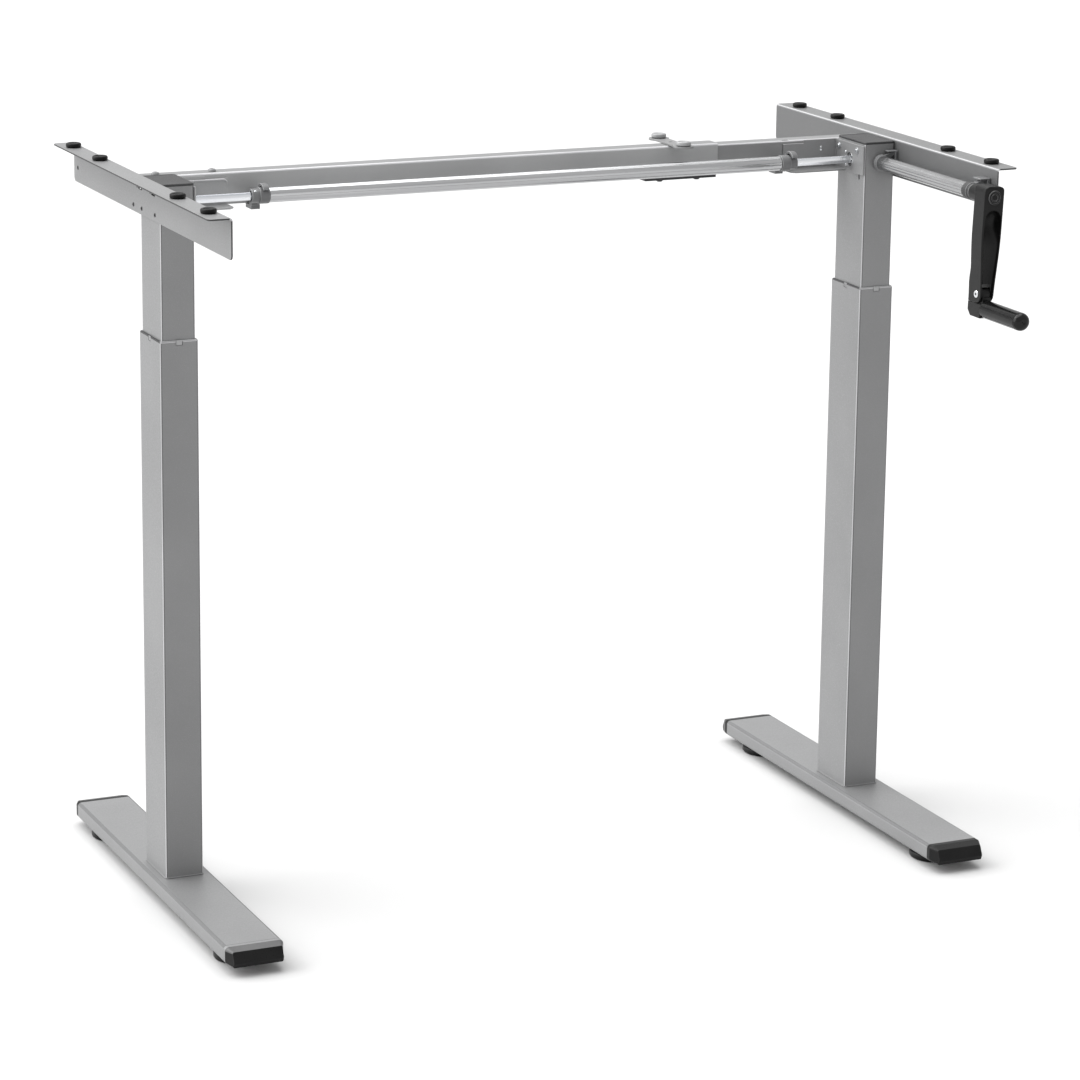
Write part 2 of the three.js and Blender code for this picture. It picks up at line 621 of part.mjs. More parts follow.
for (const [label, side] of [["left", -1], ["right", 1]]) {
  const column = new THREE.Group();
  column.position.set(side * COLUMN_X, COLUMN_Y, 0);
  desk.add(column);

  place(`${label}_foot`, footTube(), powderCoat, column);
  place(`${label}_foot_cap_rear`, footCap(), blackPlastic, column);
  place(`${label}_foot_cap_front`, footCap(), blackPlastic, column).rotation.z = Math.PI;
  place(`${label}_leveller_front`, leveller(-LEVELLER.y), blackPlastic, column);
  place(`${label}_leveller_rear`, leveller(LEVELLER.y), blackPlastic, column);
  place(`${label}_outer_tube`, outerTube(), powderCoat, column);
  place(`${label}_glide_sleeve`, glideSleeve(), greyPlastic, column);
  place(`${label}_lift_nut`, liftNut(), steel, column);

  place(`${label}_inner_tube`, innerTube(side), powderCoat, column);
  place(`${label}_tube_cap`, tubeCap(), greyPlastic, column);
  place(`${label}_side_angle`, sideAngle(side), powderCoat, column);
  PAD.rows.forEach((y, i) => {
    const pad = place(`${label}_pad_${i + 1}`, topPad(), rubber, column);
    pad.position.set(side * (WEB_X + ANGLE.flange / 2), y, 0);
  });
  place(`${label}_gear_housing`, gearHousing(side), steel, column);
  place(`${label}_lead_screw`, leadScrew(), steel, column);
  const spindleGear = bevelGear(
    GEAR.spindleTeeth, GEAR.pinionTeeth, SCREW.neckRadius + GAP, GEAR.spindleHub, 0);
  placeGear(`${label}_spindle_gear`, spindleGear, DOWN, steel, column);
  const pinion = bevelGear(GEAR.pinionTeeth, GEAR.spindleTeeth, ROD.neckRadius + GAP, GEAR.pinionHub, 0.5);
  placeGear(`${label}_rod_pinion`, pinion, new THREE.Vector3(-side, 0, 0), brass, column);
  if (side > 0) {
    placeGear("crank_pinion", pinion.clone(), new THREE.Vector3(0, -1, 0), brass, column);
  }
}

const shaftCentre = [COLUMN_Y, SHAFT_Z];
place("left_hex_rod", hexRod("x", shaftCentre, -COLUMN_X, ROD.leftEnd, -1), zinc);
place("right_hex_rod", hexRod("x", shaftCentre, COLUMN_X, ROD.rightEnd, 1), zinc);
place("drive_tube", pipe("x", [TUBE.leftX, TUBE.rightX], shaftCentre), aluminium);

place("outer_beam", outerBeam(), powderCoat);
place("inner_beam", innerBeam(), powderCoat);
place("clamp_strip", clampStrip(), blackPlastic);
place("support_bar", supportBar(), powderCoat);
place("support_pad_front", supportPad(-1), palePlastic);
place("support_pad_rear", supportPad(1), palePlastic);

const leftPlate = BEAM.front - GAP - SHEET - COLUMN_Y;
const rightPlate = leftPlate + SHEET + GAP;
place("left_bracket", bracket(-1, BRACKET.left, leftPlate), powderCoat).position.set(-COLUMN_X, COLUMN_Y, 0);
place("right_bracket", bracket(1, BRACKET.right, rightPlate), powderCoat).position.set(COLUMN_X, COLUMN_Y, 0);
place("left_rod_clip", rodClip(TUBE.leftX - GAP, -1, BEAM.front, beamBottom), greyPlastic);
place("right_rod_clip",
  rodClip(TUBE.rightX + GAP, 1, BEAM.front + SHEET + GAP, beamBottom + SHEET + GAP), greyPlastic);

const crankCentre = [SHAFT_Z, COLUMN_X];
place("crank_shaft", hexRod("y", crankCentre, COLUMN_Y, CRANK.armFront + 7, 1), zinc);
place("crank_tube", pipe("y", [CRANK.tubeFront, CRANK.tubeRear], crankCentre), aluminium);
place("crank_clip_rear", crankClip([CRANK.tubeRear + GAP, COLUMN_Y - INNER.y / 2 - GAP]), greyPlastic);
place("crank_clip_front", crankClip([CRANK.tubeFront - 18, CRANK.tubeFront - GAP]), greyPlastic);

const handle = new THREE.Group();
handle.position.set(COLUMN_X, 0, SHAFT_Z);
handle.rotation.y = THREE.MathUtils.degToRad(CRANK.tilt);
desk.add(handle);
place("crank_arm", crankArm(), blackPlastic, handle);
place("grip_pivot_pin",
  bar("x", [-CRANK.pivotWidth / 2, CRANK.pivotWidth / 2], [PIVOT.y, -CRANK.length], PIVOT.pin, 16),
  zinc, handle);
place("grip_knuckle", gripKnuckle(), blackPlastic, handle);
place("crank_grip", crankGrip(), blackPlastic, handle);

export default desk;
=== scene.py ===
"""A hand-cranked sit/stand desk frame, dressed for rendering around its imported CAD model.

Lengths are in millimetres in this script, and each piece's mesh is scaled to metres at the end.
+X runs along the crossbeam, +Y towards the back and +Z up.
"""

import json
import math

import bmesh
import bpy
from mathutils import Matrix, Vector


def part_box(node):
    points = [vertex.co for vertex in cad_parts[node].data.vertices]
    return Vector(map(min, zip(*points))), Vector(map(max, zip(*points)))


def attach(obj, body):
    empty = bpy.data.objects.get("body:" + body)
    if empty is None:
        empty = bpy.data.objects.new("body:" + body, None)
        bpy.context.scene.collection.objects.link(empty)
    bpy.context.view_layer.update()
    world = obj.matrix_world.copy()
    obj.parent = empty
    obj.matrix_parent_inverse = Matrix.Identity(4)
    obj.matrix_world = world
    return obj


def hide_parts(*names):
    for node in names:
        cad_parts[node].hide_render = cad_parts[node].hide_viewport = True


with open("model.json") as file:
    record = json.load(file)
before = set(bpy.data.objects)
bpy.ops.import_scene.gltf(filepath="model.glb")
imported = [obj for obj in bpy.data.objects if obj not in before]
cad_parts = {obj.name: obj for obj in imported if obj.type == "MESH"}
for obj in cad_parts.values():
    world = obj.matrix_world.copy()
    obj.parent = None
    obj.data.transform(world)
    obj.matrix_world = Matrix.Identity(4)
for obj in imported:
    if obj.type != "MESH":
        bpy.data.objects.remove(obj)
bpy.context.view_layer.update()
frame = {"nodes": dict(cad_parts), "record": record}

MM = 0.001
SIDES = (("left", -1), ("right", 1))
scene = bpy.context.scene
BODY_OF = {}
for body, names in frame["record"]["behaviour"]["bodies"].items():
    BODY_OF.update(dict.fromkeys(names, body))


def corners(node):
    """The lowest and highest corners of a CAD node, in millimetres."""
    low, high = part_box(node)
    return low / MM, high / MM


def middle_of(node):
    low, high = corners(node)
    return (low + high) / 2


def plan_of(node):
    """A node's lowest and highest corners, its centre (x, y), its width and its depth."""
    low, high = corners(node)
    middle = (low + high) / 2
    return low, high, (middle.x, middle.y), high.x - low.x, high.y - low.y


# ---------- camera and light
CAMERA_PLACE = (-1.98903, -4.39641, 1.70516)
FLOOR_REACH = 60  # metres


def make_camera():
    """A long lens at the left front, a little above the frame's top."""
    yaw, pitch, roll = 0.4236, 0.23534, -0.01193
    forward = Vector((math.sin(yaw) * math.cos(pitch), math.cos(yaw) * math.cos(pitch), -math.sin(pitch)))
    level = Vector((math.cos(yaw), -math.sin(yaw), 0))
    down = forward.cross(level)
    right = math.cos(roll) * level + math.sin(roll) * down
    up = math.sin(roll) * level - math.cos(roll) * down
    data = bpy.data.cameras.new("camera")
    data.sensor_width = 36
    data.lens = 128.65
    data.shift_y = -0.08
    data.clip_end = 200
    camera = bpy.data.objects.new("camera", data)
    turn = Matrix((right, up, -forward)).transposed().to_4x4()
    camera.matrix_world = Matrix.Translation(CAMERA_PLACE) @ turn
    scene.collection.objects.link(camera)
    scene.camera = camera


def make_sun(name, towards, strength, angle):
    """A soft distant light; towards points from the object to the light."""
    data = bpy.data.lights.new(name, "SUN")
    data.energy = strength
    data.angle = math.radians(angle)
    light = bpy.data.objects.new(name, data)
    light.rotation_euler = Vector(towards).to_track_quat("Z", "Y").to_euler()
    scene.collection.objects.link(light)


def make_studio():
    world = bpy.data.worlds.new("studio")
    world.use_nodes = True
    background = world.node_tree.nodes["Background"]
    background.inputs["Color"].default_value = (1, 1, 1, 1)
    background.inputs["Strength"].default_value = 0.8
    scene.world = world
    scene.view_settings.view_transform = "Standard"
    make_sun("top_light", (-0.2, 0.25, 0.95), 3.7, 75)
    make_sun("left_light", (-0.85, 0.35, 0.4), 2.5, 60)

    mesh = bpy.data.meshes.new("floor")
    edge = FLOOR_REACH
    mesh.from_pydata([(-edge, -edge, 0), (edge, -edge, 0), (edge, edge, 0), (-edge, edge, 0)], [], [range(4)])
    floor = bpy.data.objects.new("floor", mesh)
    finish = Finish("floor")
    tone = finish.noise(1.5)
    finish.set("Base Color", finish.blend(tone, (0.50, 0.50, 0.50), (0.52, 0.52, 0.52)))
    finish.set("Roughness", 0.8)
    finish.set("Specular IOR Level", 0.2)
    mesh.materials.append(finish.material)
    scene.collection.objects.link(floor)


# ---------- materials
EDGE_SHEEN = 0.7  # how far from an edge the painted highlight on plastic reaches
METAL_GRAIN = 1100
ALONG_GRAIN = 0.012  # stretches a metal's noise into lines


class Finish:
    """A node material being made, in its piece's own coordinates."""

    def __init__(self, name):
        self.material = bpy.data.materials.new(name)
        self.material.use_nodes = True
        self.nodes = self.material.node_tree.nodes
        self.link = self.material.node_tree.links.new
        self.place = self.add("TexCoord").outputs["Object"]

    def add(self, kind):
        return self.nodes.new(f"ShaderNode{kind}")

    def set(self, name, value):
        """Gives the shader a plain number or a node's output."""
        socket = self.nodes["Principled BSDF"].inputs[name]
        if isinstance(value, float):
            socket.default_value = value
        else:
            self.link(value, socket)

    def noise(self, scale, detail=2, stretch=(1, 1, 1)):
        """Noise with about scale features a metre, drawn out along an axis by a small stretch."""
        mapping = self.add("Mapping")
        mapping.inputs["Scale"].default_value = [scale * s for s in stretch]
        texture = self.add("TexNoise")
        texture.inputs["Scale"].default_value = 1
        texture.inputs["Detail"].default_value = detail
        self.link(self.place, mapping.inputs["Vector"])
        self.link(mapping.outputs["Vector"], texture.inputs["Vector"])
        return texture.outputs["Fac"]

    def map_range(self, value, low, high, to_low, to_high):
        node = self.add("MapRange")
        self.link(value, node.inputs["Value"])
        for name, number in (("From Min", low), ("From Max", high), ("To Min", to_low), ("To Max", to_high)):
            node.inputs[name].default_value = number
        return node.outputs["Result"]

    def blend(self, value, dark, light, low=0.3, high=0.7):
        """From dark to light as value goes from low to high."""
        ramp = self.add("ValToRGB")
        for stop, position, colour in zip(ramp.color_ramp.elements, (low, high), (dark, light)):
            stop.position = position
            stop.color = (*colour, 1)
        self.link(value, ramp.inputs["Fac"])
        return ramp.outputs["Color"]

    def mix(self, factor, first, second):
        """first where the factor is 0 and the plain colour second where it is 1."""
        node = self.add("Mix")
        node.data_type = "RGBA"
        self.link(factor, node.inputs["Factor"])
        self.link(first, node.inputs["A"])
        node.inputs["B"].default_value = (*second, 1)
        return node.outputs["Result"]

    def edge_mask(self, radius):
        """1 at an edge of the piece and 0 away from edges."""
        bevel = self.add("Bevel")
        bevel.samples = 4
        bevel.inputs["Radius"].default_value = radius * MM
        dot = self.add("VectorMath")
        dot.operation = "DOT_PRODUCT"
        self.link(bevel.outputs["Normal"], dot.inputs[0])
        self.link(self.add("NewGeometry").outputs["Normal"], dot.inputs[1])
        return self.map_range(dot.outputs["Value"], 0.99, 0.85, 0, 1)

    def bump(self, *heights):
        """Bumps of (height source, depth in millimetres, strength), each on top of the last."""
        last = None
        for height, depth, strength in heights:
            node = self.add("Bump")
            node.inputs["Distance"].default_value = depth * MM
            node.inputs["Strength"].default_value = strength
            self.link(height, node.inputs["Height"])
            if last is not None:
                self.link(last, node.inputs["Normal"])
            last = node.outputs["Normal"]
        self.set("Normal", last)


def powder_coat(name, dark, light, edge, roughness=0.45):
    """Silver powder coat: fine orange peel and a faint metal fleck."""
    finish = Finish(name)
    fleck = finish.noise(1400, 1)
    peel = finish.noise(420)
    colour = finish.blend(finish.noise(7, 3), dark, light)
    fleck_mask = finish.map_range(fleck, 0.62, 0.75, 0, 0.35)
    finish.set("Base Color", finish.mix(fleck_mask, colour, edge))
    finish.set("Metallic", 0.35)
    finish.set("Roughness", finish.map_range(peel, 0.3, 0.7, roughness - 0.05, roughness + 0.05))
    finish.bump((peel, 0.12, 0.25), (fleck, 0.04, 0.2))
    return finish.material


def drawn_metal(name, axis, dark, light, roughness, metallic=1.0):
    """Bare metal with fine lines along an axis."""
    finish = Finish(name)
    along = [ALONG_GRAIN if letter == axis else 1 for letter in "xyz"]
    lines = finish.noise(METAL_GRAIN, 3, along)
    bands = finish.noise(METAL_GRAIN / 5, 2, along)
    finish.set("Base Color", finish.blend(bands, dark, light))
    finish.set("Metallic", metallic)
    finish.set("Roughness", finish.map_range(lines, 0.3, 0.7, roughness * 0.8, roughness * 1.25))
    finish.bump((lines, 0.05, 0.3), (finish.noise(30), 0.1, 0.05))
    return finish.material


def moulded(name, dark, light, roughness, grain=900, depth=0.08, gloss=0.5):
    """Moulded plastic or rubber with a fine spark-eroded grain and a painted highlight that makes its edges
    paler.
    """
    finish = Finish(name)
    texture = finish.noise(grain)
    drift = finish.noise(25, 3)
    colour = finish.blend(drift, dark, light, 0.35, 0.65)
    # Painted highlight: the edges are mixed towards a paler colour.
    edge_sheen_colour = [min(1, 1.9 * c + 0.02) for c in light]
    edges = finish.map_range(finish.edge_mask(EDGE_SHEEN), 0, 1, 0, 0.45)
    finish.set("Base Color", finish.mix(edges, colour, edge_sheen_colour))
    finish.set("Roughness", finish.map_range(texture, 0.3, 0.7, roughness - 0.08, roughness + 0.08))
    finish.set("Specular IOR Level", gloss)
    finish.bump((texture, depth, 0.3), (drift, 0.15, 0.05))
    return finish.material


ZINC = (0.62, 0.64, 0.68), (0.93, 0.94, 0.95), 0.2
BLACK = (0.003, 0.003, 0.003), (0.006, 0.006, 0.006)
LOOKS = {
    "powder_coat": powder_coat(
        "silver_powder_coat", (0.20, 0.201, 0.203), (0.222, 0.223, 0.225), (0.5, 0.51, 0.52)),
    # A lighter copy of the coat, as painted light on faces that catch more light.
    "lit_coat": powder_coat(
        "lit_powder_coat", (0.30, 0.302, 0.304), (0.345, 0.347, 0.35), (0.6, 0.61, 0.62)),
    # Darker copies of the coat, as painted shade: a half shade and a deep shade.
    "half_shade_coat": powder_coat(
        "half_shaded_powder_coat", (0.155, 0.156, 0.157), (0.175, 0.176, 0.177), (0.45, 0.46, 0.47)),
    "deep_shade_coat": powder_coat(
        "deep_shaded_powder_coat", (0.112, 0.113, 0.114), (0.126, 0.127, 0.128), (0.4, 0.41, 0.42)),
    # A pale copy of the coat, as a painted highlight on edges, folds, rims and fold ends.
    "painted_highlight": powder_coat(
        "highlight_powder_coat", (0.42, 0.42, 0.43), (0.52, 0.52, 0.53), (0.8, 0.8, 0.8), 0.35),
    # A near-black copy of the coat, as painted shade on sheet edges and in the gaps at the column rims.
    "painted_shade_edge": powder_coat(
        "shade_edge_coat", (0.030, 0.030, 0.031), (0.042, 0.042, 0.043), (0.1, 0.1, 0.1), 0.5),
    "zinc_x": drawn_metal("bright_zinc_x", "x", *ZINC),
    "zinc_y": drawn_metal("bright_zinc_y", "y", *ZINC),
    "zinc": drawn_metal("bright_zinc", "z", (0.6, 0.61, 0.63), (0.8, 0.81, 0.82), 0.3),
    "aluminium_x": drawn_metal("satin_aluminium_x", "x", (0.36, 0.364, 0.37), (0.50, 0.504, 0.51), 0.17),
    "aluminium_y": drawn_metal("satin_aluminium_y", "y", (0.34, 0.343, 0.347), (0.45, 0.453, 0.457), 0.22),
    "steel": drawn_metal("plain_steel", "z", (0.35, 0.36, 0.37), (0.5, 0.51, 0.52), 0.4),
    "brass": drawn_metal("gear_brass", "z", (0.5, 0.38, 0.16), (0.65, 0.52, 0.25), 0.35),
    "black_screw": drawn_metal("black_oxide", "z", (0.02, 0.02, 0.022), (0.04, 0.04, 0.042), 0.35, 0.6),
    "black": moulded("black_plastic", *BLACK, 0.34, gloss=0.2),
    "gloss_black": moulded("polished_black_plastic", *BLACK, 0.18, depth=0.03, gloss=0.24),
    "grey": moulded("grey_plastic", (0.095, 0.096, 0.098), (0.125, 0.127, 0.13), 0.4),
    # A lighter copy of the black plastic, as a painted highlight on bevels and rings.
    "highlit_black": moulded("black_highlight_plastic", (0.05, 0.05, 0.051), (0.065, 0.065, 0.066), 0.4),
    "dark_grey": moulded("dark_grey_plastic", (0.022, 0.022, 0.023), (0.03, 0.03, 0.031), 0.5, gloss=0.4),
    "liner": moulded("liner_plastic", (0.17, 0.172, 0.175), (0.21, 0.212, 0.215), 0.45),
    "pale": moulded("pale_plastic", (0.22, 0.223, 0.226), (0.29, 0.293, 0.297), 0.3),
    "rubber": moulded("pad_rubber", (0.002, 0.002, 0.002), (0.004, 0.004, 0.004), 0.42, 600, gloss=0.16),
}


# ---------- mesh helpers
AXES = {
    "x": lambda u, v, w: Vector((w, u, v)),
    "y": lambda u, v, w: Vector((u, w, v)),
    "z": lambda u, v, w: Vector((u, v, w)),
}


def arc(radius, start, end, steps, centre=(0, 0)):
    """Points on part of a circle; the angles are in degrees."""
    turns = [math.radians(start + (end - start) * i / steps) for i in range(steps + 1)]
    return [(centre[0] + radius * math.cos(t), centre[1] + radius * math.sin(t)) for t in turns]


def circle(radius, steps, centre=(0, 0)):
    return arc(radius, 0, 360, steps, centre)[:-1]


def rounded(width, height, radius, steps, centre, inset=0):
    """A rectangle with round corners."""
    across, along = width / 2 - inset - radius, height / 2 - inset - radius
    points = []
    for quarter, (sx, sy) in enumerate(((1, 1), (-1, 1), (-1, -1), (1, -1))):
        corner = (centre[0] + sx * across, centre[1] + sy * along)
        points += arc(radius, 90 * quarter, 90 * quarter + 90, steps, corner)
    return points


def loft(sections, close=False):
    """A skin through rings of equally many points, with flat ends unless it closes on itself."""
    bm = bmesh.new()
    rings = [[bm.verts.new(point) for point in ring] for ring in sections]
    pairs = list(zip(rings, rings[1:]))
    if close:
        pairs.append((rings[-1], rings[0]))
    for first, second in pairs:
        count = len(first)
        for i in range(count):
            j = (i + 1) % count
            bm.faces.new((first[i], first[j], second[j], second[i]))
    if not close:
        bm.faces.new(list(reversed(rings[0])))
        bm.faces.new(rings[-1])
    return bm


def stack(axis, rows, close=False):
    """A skin through rows of (outline, place on the axis); outlines are in the other two axes."""
    return loft([[AXES[axis](u, v, w) for u, v in outline] for outline, w in rows], close)


def prism(axis, start, end, outline):
    return stack(axis, [(outline, start), (outline, end)])


def tube(axis, start, end, outer, inner):
    """A prism with a hole; both outlines have equally many points."""
    return stack(axis, [(outer, start), (outer, end), (inner, end), (inner, start)], close=True)


def lathe(axis, centre, profile, steps, sign=1):
    """A solid of revolution from rows of (radius, place); places grow along the axis times sign.
    A third number in a row makes a hexagon of that width across its flats."""
    rows = []
    for radius, place, *flats in profile:
        outline = []
        for i in range(steps):
            turn = 2 * math.pi * i / steps
            r = max(radius, 1e-4)
            if flats:
                r = flats[0] / 2 / math.cos(turn % math.radians(60) - math.radians(30))
            outline.append((centre[0] + r * math.cos(turn), centre[1] + r * math.sin(turn)))
        rows.append((outline, sign * place))
    return stack(axis, rows)


def box(low, high):
    outline = [(low[0], low[1]), (high[0], low[1]), (high[0], high[1]), (low[0], high[1])]
    return prism("z", low[2], high[2], outline)


def join(*parts):
    """Several closed shapes as one mesh."""
    whole = parts[0]
    for part in parts[1:]:
        mesh = bpy.data.meshes.new("part")
        part.to_mesh(mesh)
        part.free()
        whole.from_mesh(mesh)
        bpy.data.meshes.remove(mesh)
    return whole


def moved(bm, matrix):
    bmesh.ops.transform(bm, matrix=matrix, verts=bm.verts)
    return bm


def plate(outlines, thickness, edge=0.3):
    """A flat plate around z = 0, from one outline and its holes, with eased edges."""
    curve = bpy.data.curves.new("plate", "CURVE")
    curve.dimensions = "2D"
    curve.fill_mode = "BOTH"
    curve.extrude = thickness / 2 - edge
    curve.bevel_depth = edge
    curve.bevel_resolution = 1
    curve.offset = -edge
    for points in outlines:
        spline = curve.splines.new("POLY")
        spline.points.add(len(points) - 1)
        for point, (u, v) in zip(spline.points, points):
            point.co = (u, v, 0, 1)
        spline.use_cyclic_u = True
    holder = bpy.data.objects.new("plate", curve)
    scene.collection.objects.link(holder)
    mesh = evaluated_mesh(holder)
    bm = bmesh.new()
    bm.from_mesh(mesh)
    bmesh.ops.remove_doubles(bm, verts=bm.verts, dist=0.01)
    bpy.data.objects.remove(holder)
    bpy.data.curves.remove(curve)
    bpy.data.meshes.remove(mesh)
    return bm


def evaluated_mesh(thing):
    """A new mesh of an object, with its modifiers applied."""
    return bpy.data.meshes.new_from_object(thing.evaluated_get(bpy.context.evaluated_depsgraph_get()))


def bend(bm, at, radius, steps=5):
    """Folds the sheet beyond x = at up by 90 degrees; radius is that of the sheet's middle."""
    length = radius * math.pi / 2
    for step in range(steps + 1):
        everything = bm.verts[:] + bm.edges[:] + bm.faces[:]
        plane = (at + length * step / steps, 0, 0)
        bmesh.ops.bisect_plane(bm, geom=everything, dist=1e-4, plane_co=plane, plane_no=(1, 0, 0))
    for vert in bm.verts:
        beyond = vert.co.x - at
        if beyond <= 0:
            continue
        turn = min(beyond, length) / radius
        straight = max(beyond - length, 0)
        r = radius - vert.co.z
        vert.co.x = at + r * math.sin(turn) + straight * math.cos(turn)
        vert.co.z = radius - r * math.cos(turn) + straight * math.sin(turn)
    return bm


def make_piece(name, bm, look, weld=0.005):
    """An object from a shape in millimetres. It isn't on a body yet."""
    bmesh.ops.remove_doubles(bm, verts=bm.verts, dist=weld)
    bmesh.ops.recalc_face_normals(bm, faces=bm.faces)
    bmesh.ops.scale(bm, vec=(MM, MM, MM), verts=bm.verts)
    mesh = bpy.data.meshes.new(name)
    bm.to_mesh(mesh)
    bm.free()
    mesh.materials.append(LOOKS[look])
    piece = bpy.data.objects.new(name, mesh)
    scene.collection.objects.link(piece)
    return piece


def cut(piece, shape):
    """Takes a closed shape, in millimetres, away from a piece."""
    cutter = make_piece("cutter", shape, "black", weld=0)
    step = piece.modifiers.new("cut", "BOOLEAN")
    step.operation = "DIFFERENCE"
    step.solver = "EXACT"
    step.object = cutter
    made = evaluated_mesh(piece)
    piece.modifiers.remove(step)
    old, spare = piece.data, cutter.data
    piece.data = made
    bpy.data.objects.remove(cutter)
    bpy.data.meshes.remove(old)
    bpy.data.meshes.remove(spare)


def copy_piece(node, name, look):
    """A CAD node's own shape as a new piece."""
    bm = bmesh.new()
    bm.from_mesh(frame["nodes"][node].data)
    bmesh.ops.scale(bm, vec=(1 / MM,) * 3, verts=bm.verts)
    bmesh.ops.remove_doubles(bm, verts=bm.verts, dist=0.02)
    bmesh.ops.dissolve_limit(bm, angle_limit=math.radians(1), verts=bm.verts, edges=bm.edges)
    return make_piece(name, bm, look)


def paint(piece, look, wanted):
    """Gives another look to the faces that wanted picks, by their centre and their normal."""
    piece.data.materials.append(LOOKS[look])
    index = len(piece.data.materials) - 1
    for polygon in piece.data.polygons:
        if wanted(polygon.center / MM, polygon.normal):
            polygon.material_index = index


def paint_upright_edges(piece):
    """A thin painted highlight and a thin painted shade line along a column's rounded edges."""
    paint(piece, "painted_highlight",
          lambda place, normal: abs(normal.y) > 0.5 and abs(normal.x) > 0.95 * abs(normal.y))
    paint(piece, "deep_shade_coat", lambda place, normal: abs(normal.y) > 0.8 and abs(normal.x) > 0.25)


def set_piece(piece, home, slot, edge=0.0, steps=2, angle=40, bevel_highlight=None):
    """Eases a piece's edges and smooths it; the eased edges can take a second look as a painted highlight.
    Its home is the CAD node that it stands for, or a body.
    """
    for polygon in piece.data.polygons:
        polygon.use_smooth = True
    if edge:
        bevel = piece.modifiers.new("edges", "BEVEL")
        bevel.width = edge * MM
        bevel.segments = steps
        bevel.limit_method = "ANGLE"
        bevel.angle_limit = math.radians(angle)
        bevel.use_clamp_overlap = True
        if bevel_highlight:
            piece.data.materials.append(LOOKS[bevel_highlight])
            bevel.material = 1
    else:
        mark_sharp(piece.data, angle)
    piece.modifiers.new("normals", "WEIGHTED_NORMAL").keep_sharp = True
    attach(piece, BODY_OF.get(home, home))
    if home in BODY_OF:
        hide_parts(home)


def mark_sharp(mesh, angle):
    """Keeps edges steeper than an angle crisp."""
    bm = bmesh.new()
    bm.from_mesh(mesh)
    for line in bm.edges:
        if line.is_manifold and line.calc_face_angle(0) > math.radians(angle):
            line.smooth = False
    bm.to_mesh(mesh)
    bm.free()


def add(name, bm, look, home, slot, **ease):
    set_piece(make_piece(name, bm, look), home, slot, **ease)


# ---------- the legs
FOOT_EDGE, FOOT_WALL = 5, 2
CAP_NOSE = 18.4
TUBE_WALL = 1.5
RIM_WIDTH, RIM_DEPTH = 9, 5
ROD_HOLE = 8  # the radius of the hole that a rod comes out of
SLOT_ROWS = (-19, 31)  # from the column's middle
SLOT_LENGTH, SLOT_WIDTH = 14, 3
SLOT_DROP = 17.5  # from the frame's top


def make_foot(label):
    low, high = corners(f"{label}_foot")
    middle = (low + high) / 2
    width, height = high.x - low.x, high.z - low.z
    centre = (middle.x, middle.z)
    outer = rounded(width, height, FOOT_EDGE, 8, centre)
    inner = rounded(width, height, FOOT_EDGE - FOOT_WALL, 8, centre, FOOT_WALL)
    piece = make_piece(f"{label}_foot_tube", tube("y", low.y, high.y, outer, inner), "powder_coat")
    # Painted shade along the foot's rounded top edges.
    paint(piece, "deep_shade_coat", lambda place, normal: 0.4 < normal.z < 0.97 and abs(normal.y) < 0.1)
    set_piece(piece, f"{label}_foot", "powder_coat", angle=50)
    for end, sign in (("front", -1), ("rear", 1)):
        make_foot_cap(label, end, sign, width, height, centre)


def make_foot_cap(label, end, sign, width, height, centre):
    """A short collar and a nose with a raked front, bevelled on all four sides."""
    low, high = corners(f"{label}_foot_cap_{end}")
    tip = low.y if sign < 0 else high.y
    # Each ring's inset at the sides, above and below, its corner radius, and how far behind the
    # tip its top and its bottom are.
    rows = [(0, 0, 0, 5, 24.7, 24.7), (0, 0, 0, 5, CAP_NOSE, CAP_NOSE),
            (0.3, 0.2, 0, 4.8, CAP_NOSE - 0.8, CAP_NOSE - 0.8), (5.0, 2.7, 0, 2.4, 7.6, 2.3),
            (5.6, 3.1, 5.6, 1.5, 6.4, 0), (6.6, 4.0, 6.6, 1.0, 6.0, 0.3)]
    sections = []
    for aside, above, below, radius, back_top, back_bottom in rows:
        tall = height - above - below
        middle = (centre[0], centre[1] + (below - above) / 2)
        ring = []
        for u, v in rounded(width - 2 * aside, tall, radius, 5, middle):
            back = back_bottom + (back_top - back_bottom) * ((v - middle[1]) / tall + 0.5)
            ring.append((u, tip - sign * back, v))
        sections.append(ring)
    piece = make_piece(f"{label}_{end}_foot_end", loft(sections), "black")
    if (label, end) == ("left", "front"):
        paint(piece, "powder_coat", lambda place, normal: abs(place.y - tip) > CAP_NOSE)
        # Painted highlight on the left front cap's top bevel.
        paint(piece, "highlit_black", lambda place, normal: normal.z > 0.1 and 0.1 < abs(normal.y) < 0.7)
    set_piece(piece, f"{label}_foot_cap_{end}", "black_plastic", edge=0.4, angle=14)


def make_leveller(label, end):
    """A round foot pad with a rolled rim, on a short neck and a plain stem."""
    node = f"{label}_leveller_{end}"
    _, _, centre, width, _ = plan_of(node)
    rim = [(9, 0.4), (8, 0), (3, 0), (1.2, 0.6), (0, 2.2), (0, 6.8), (0.7, 8.6), (2.5, 9.7), (5, 10)]
    neck = [(14, 10.6), (11, 11.6), (10, 14.2), (4.7, 14.2), (4.7, 29.8), (0, 29.8)]
    profile = [(0, 0.4), *((width / 2 - inset, z) for inset, z in rim), *neck]
    shape = lathe("z", centre, profile, 72)
    add(f"{label}_{end}_levelling_pad", shape, "black", node, "black_plastic", angle=50)


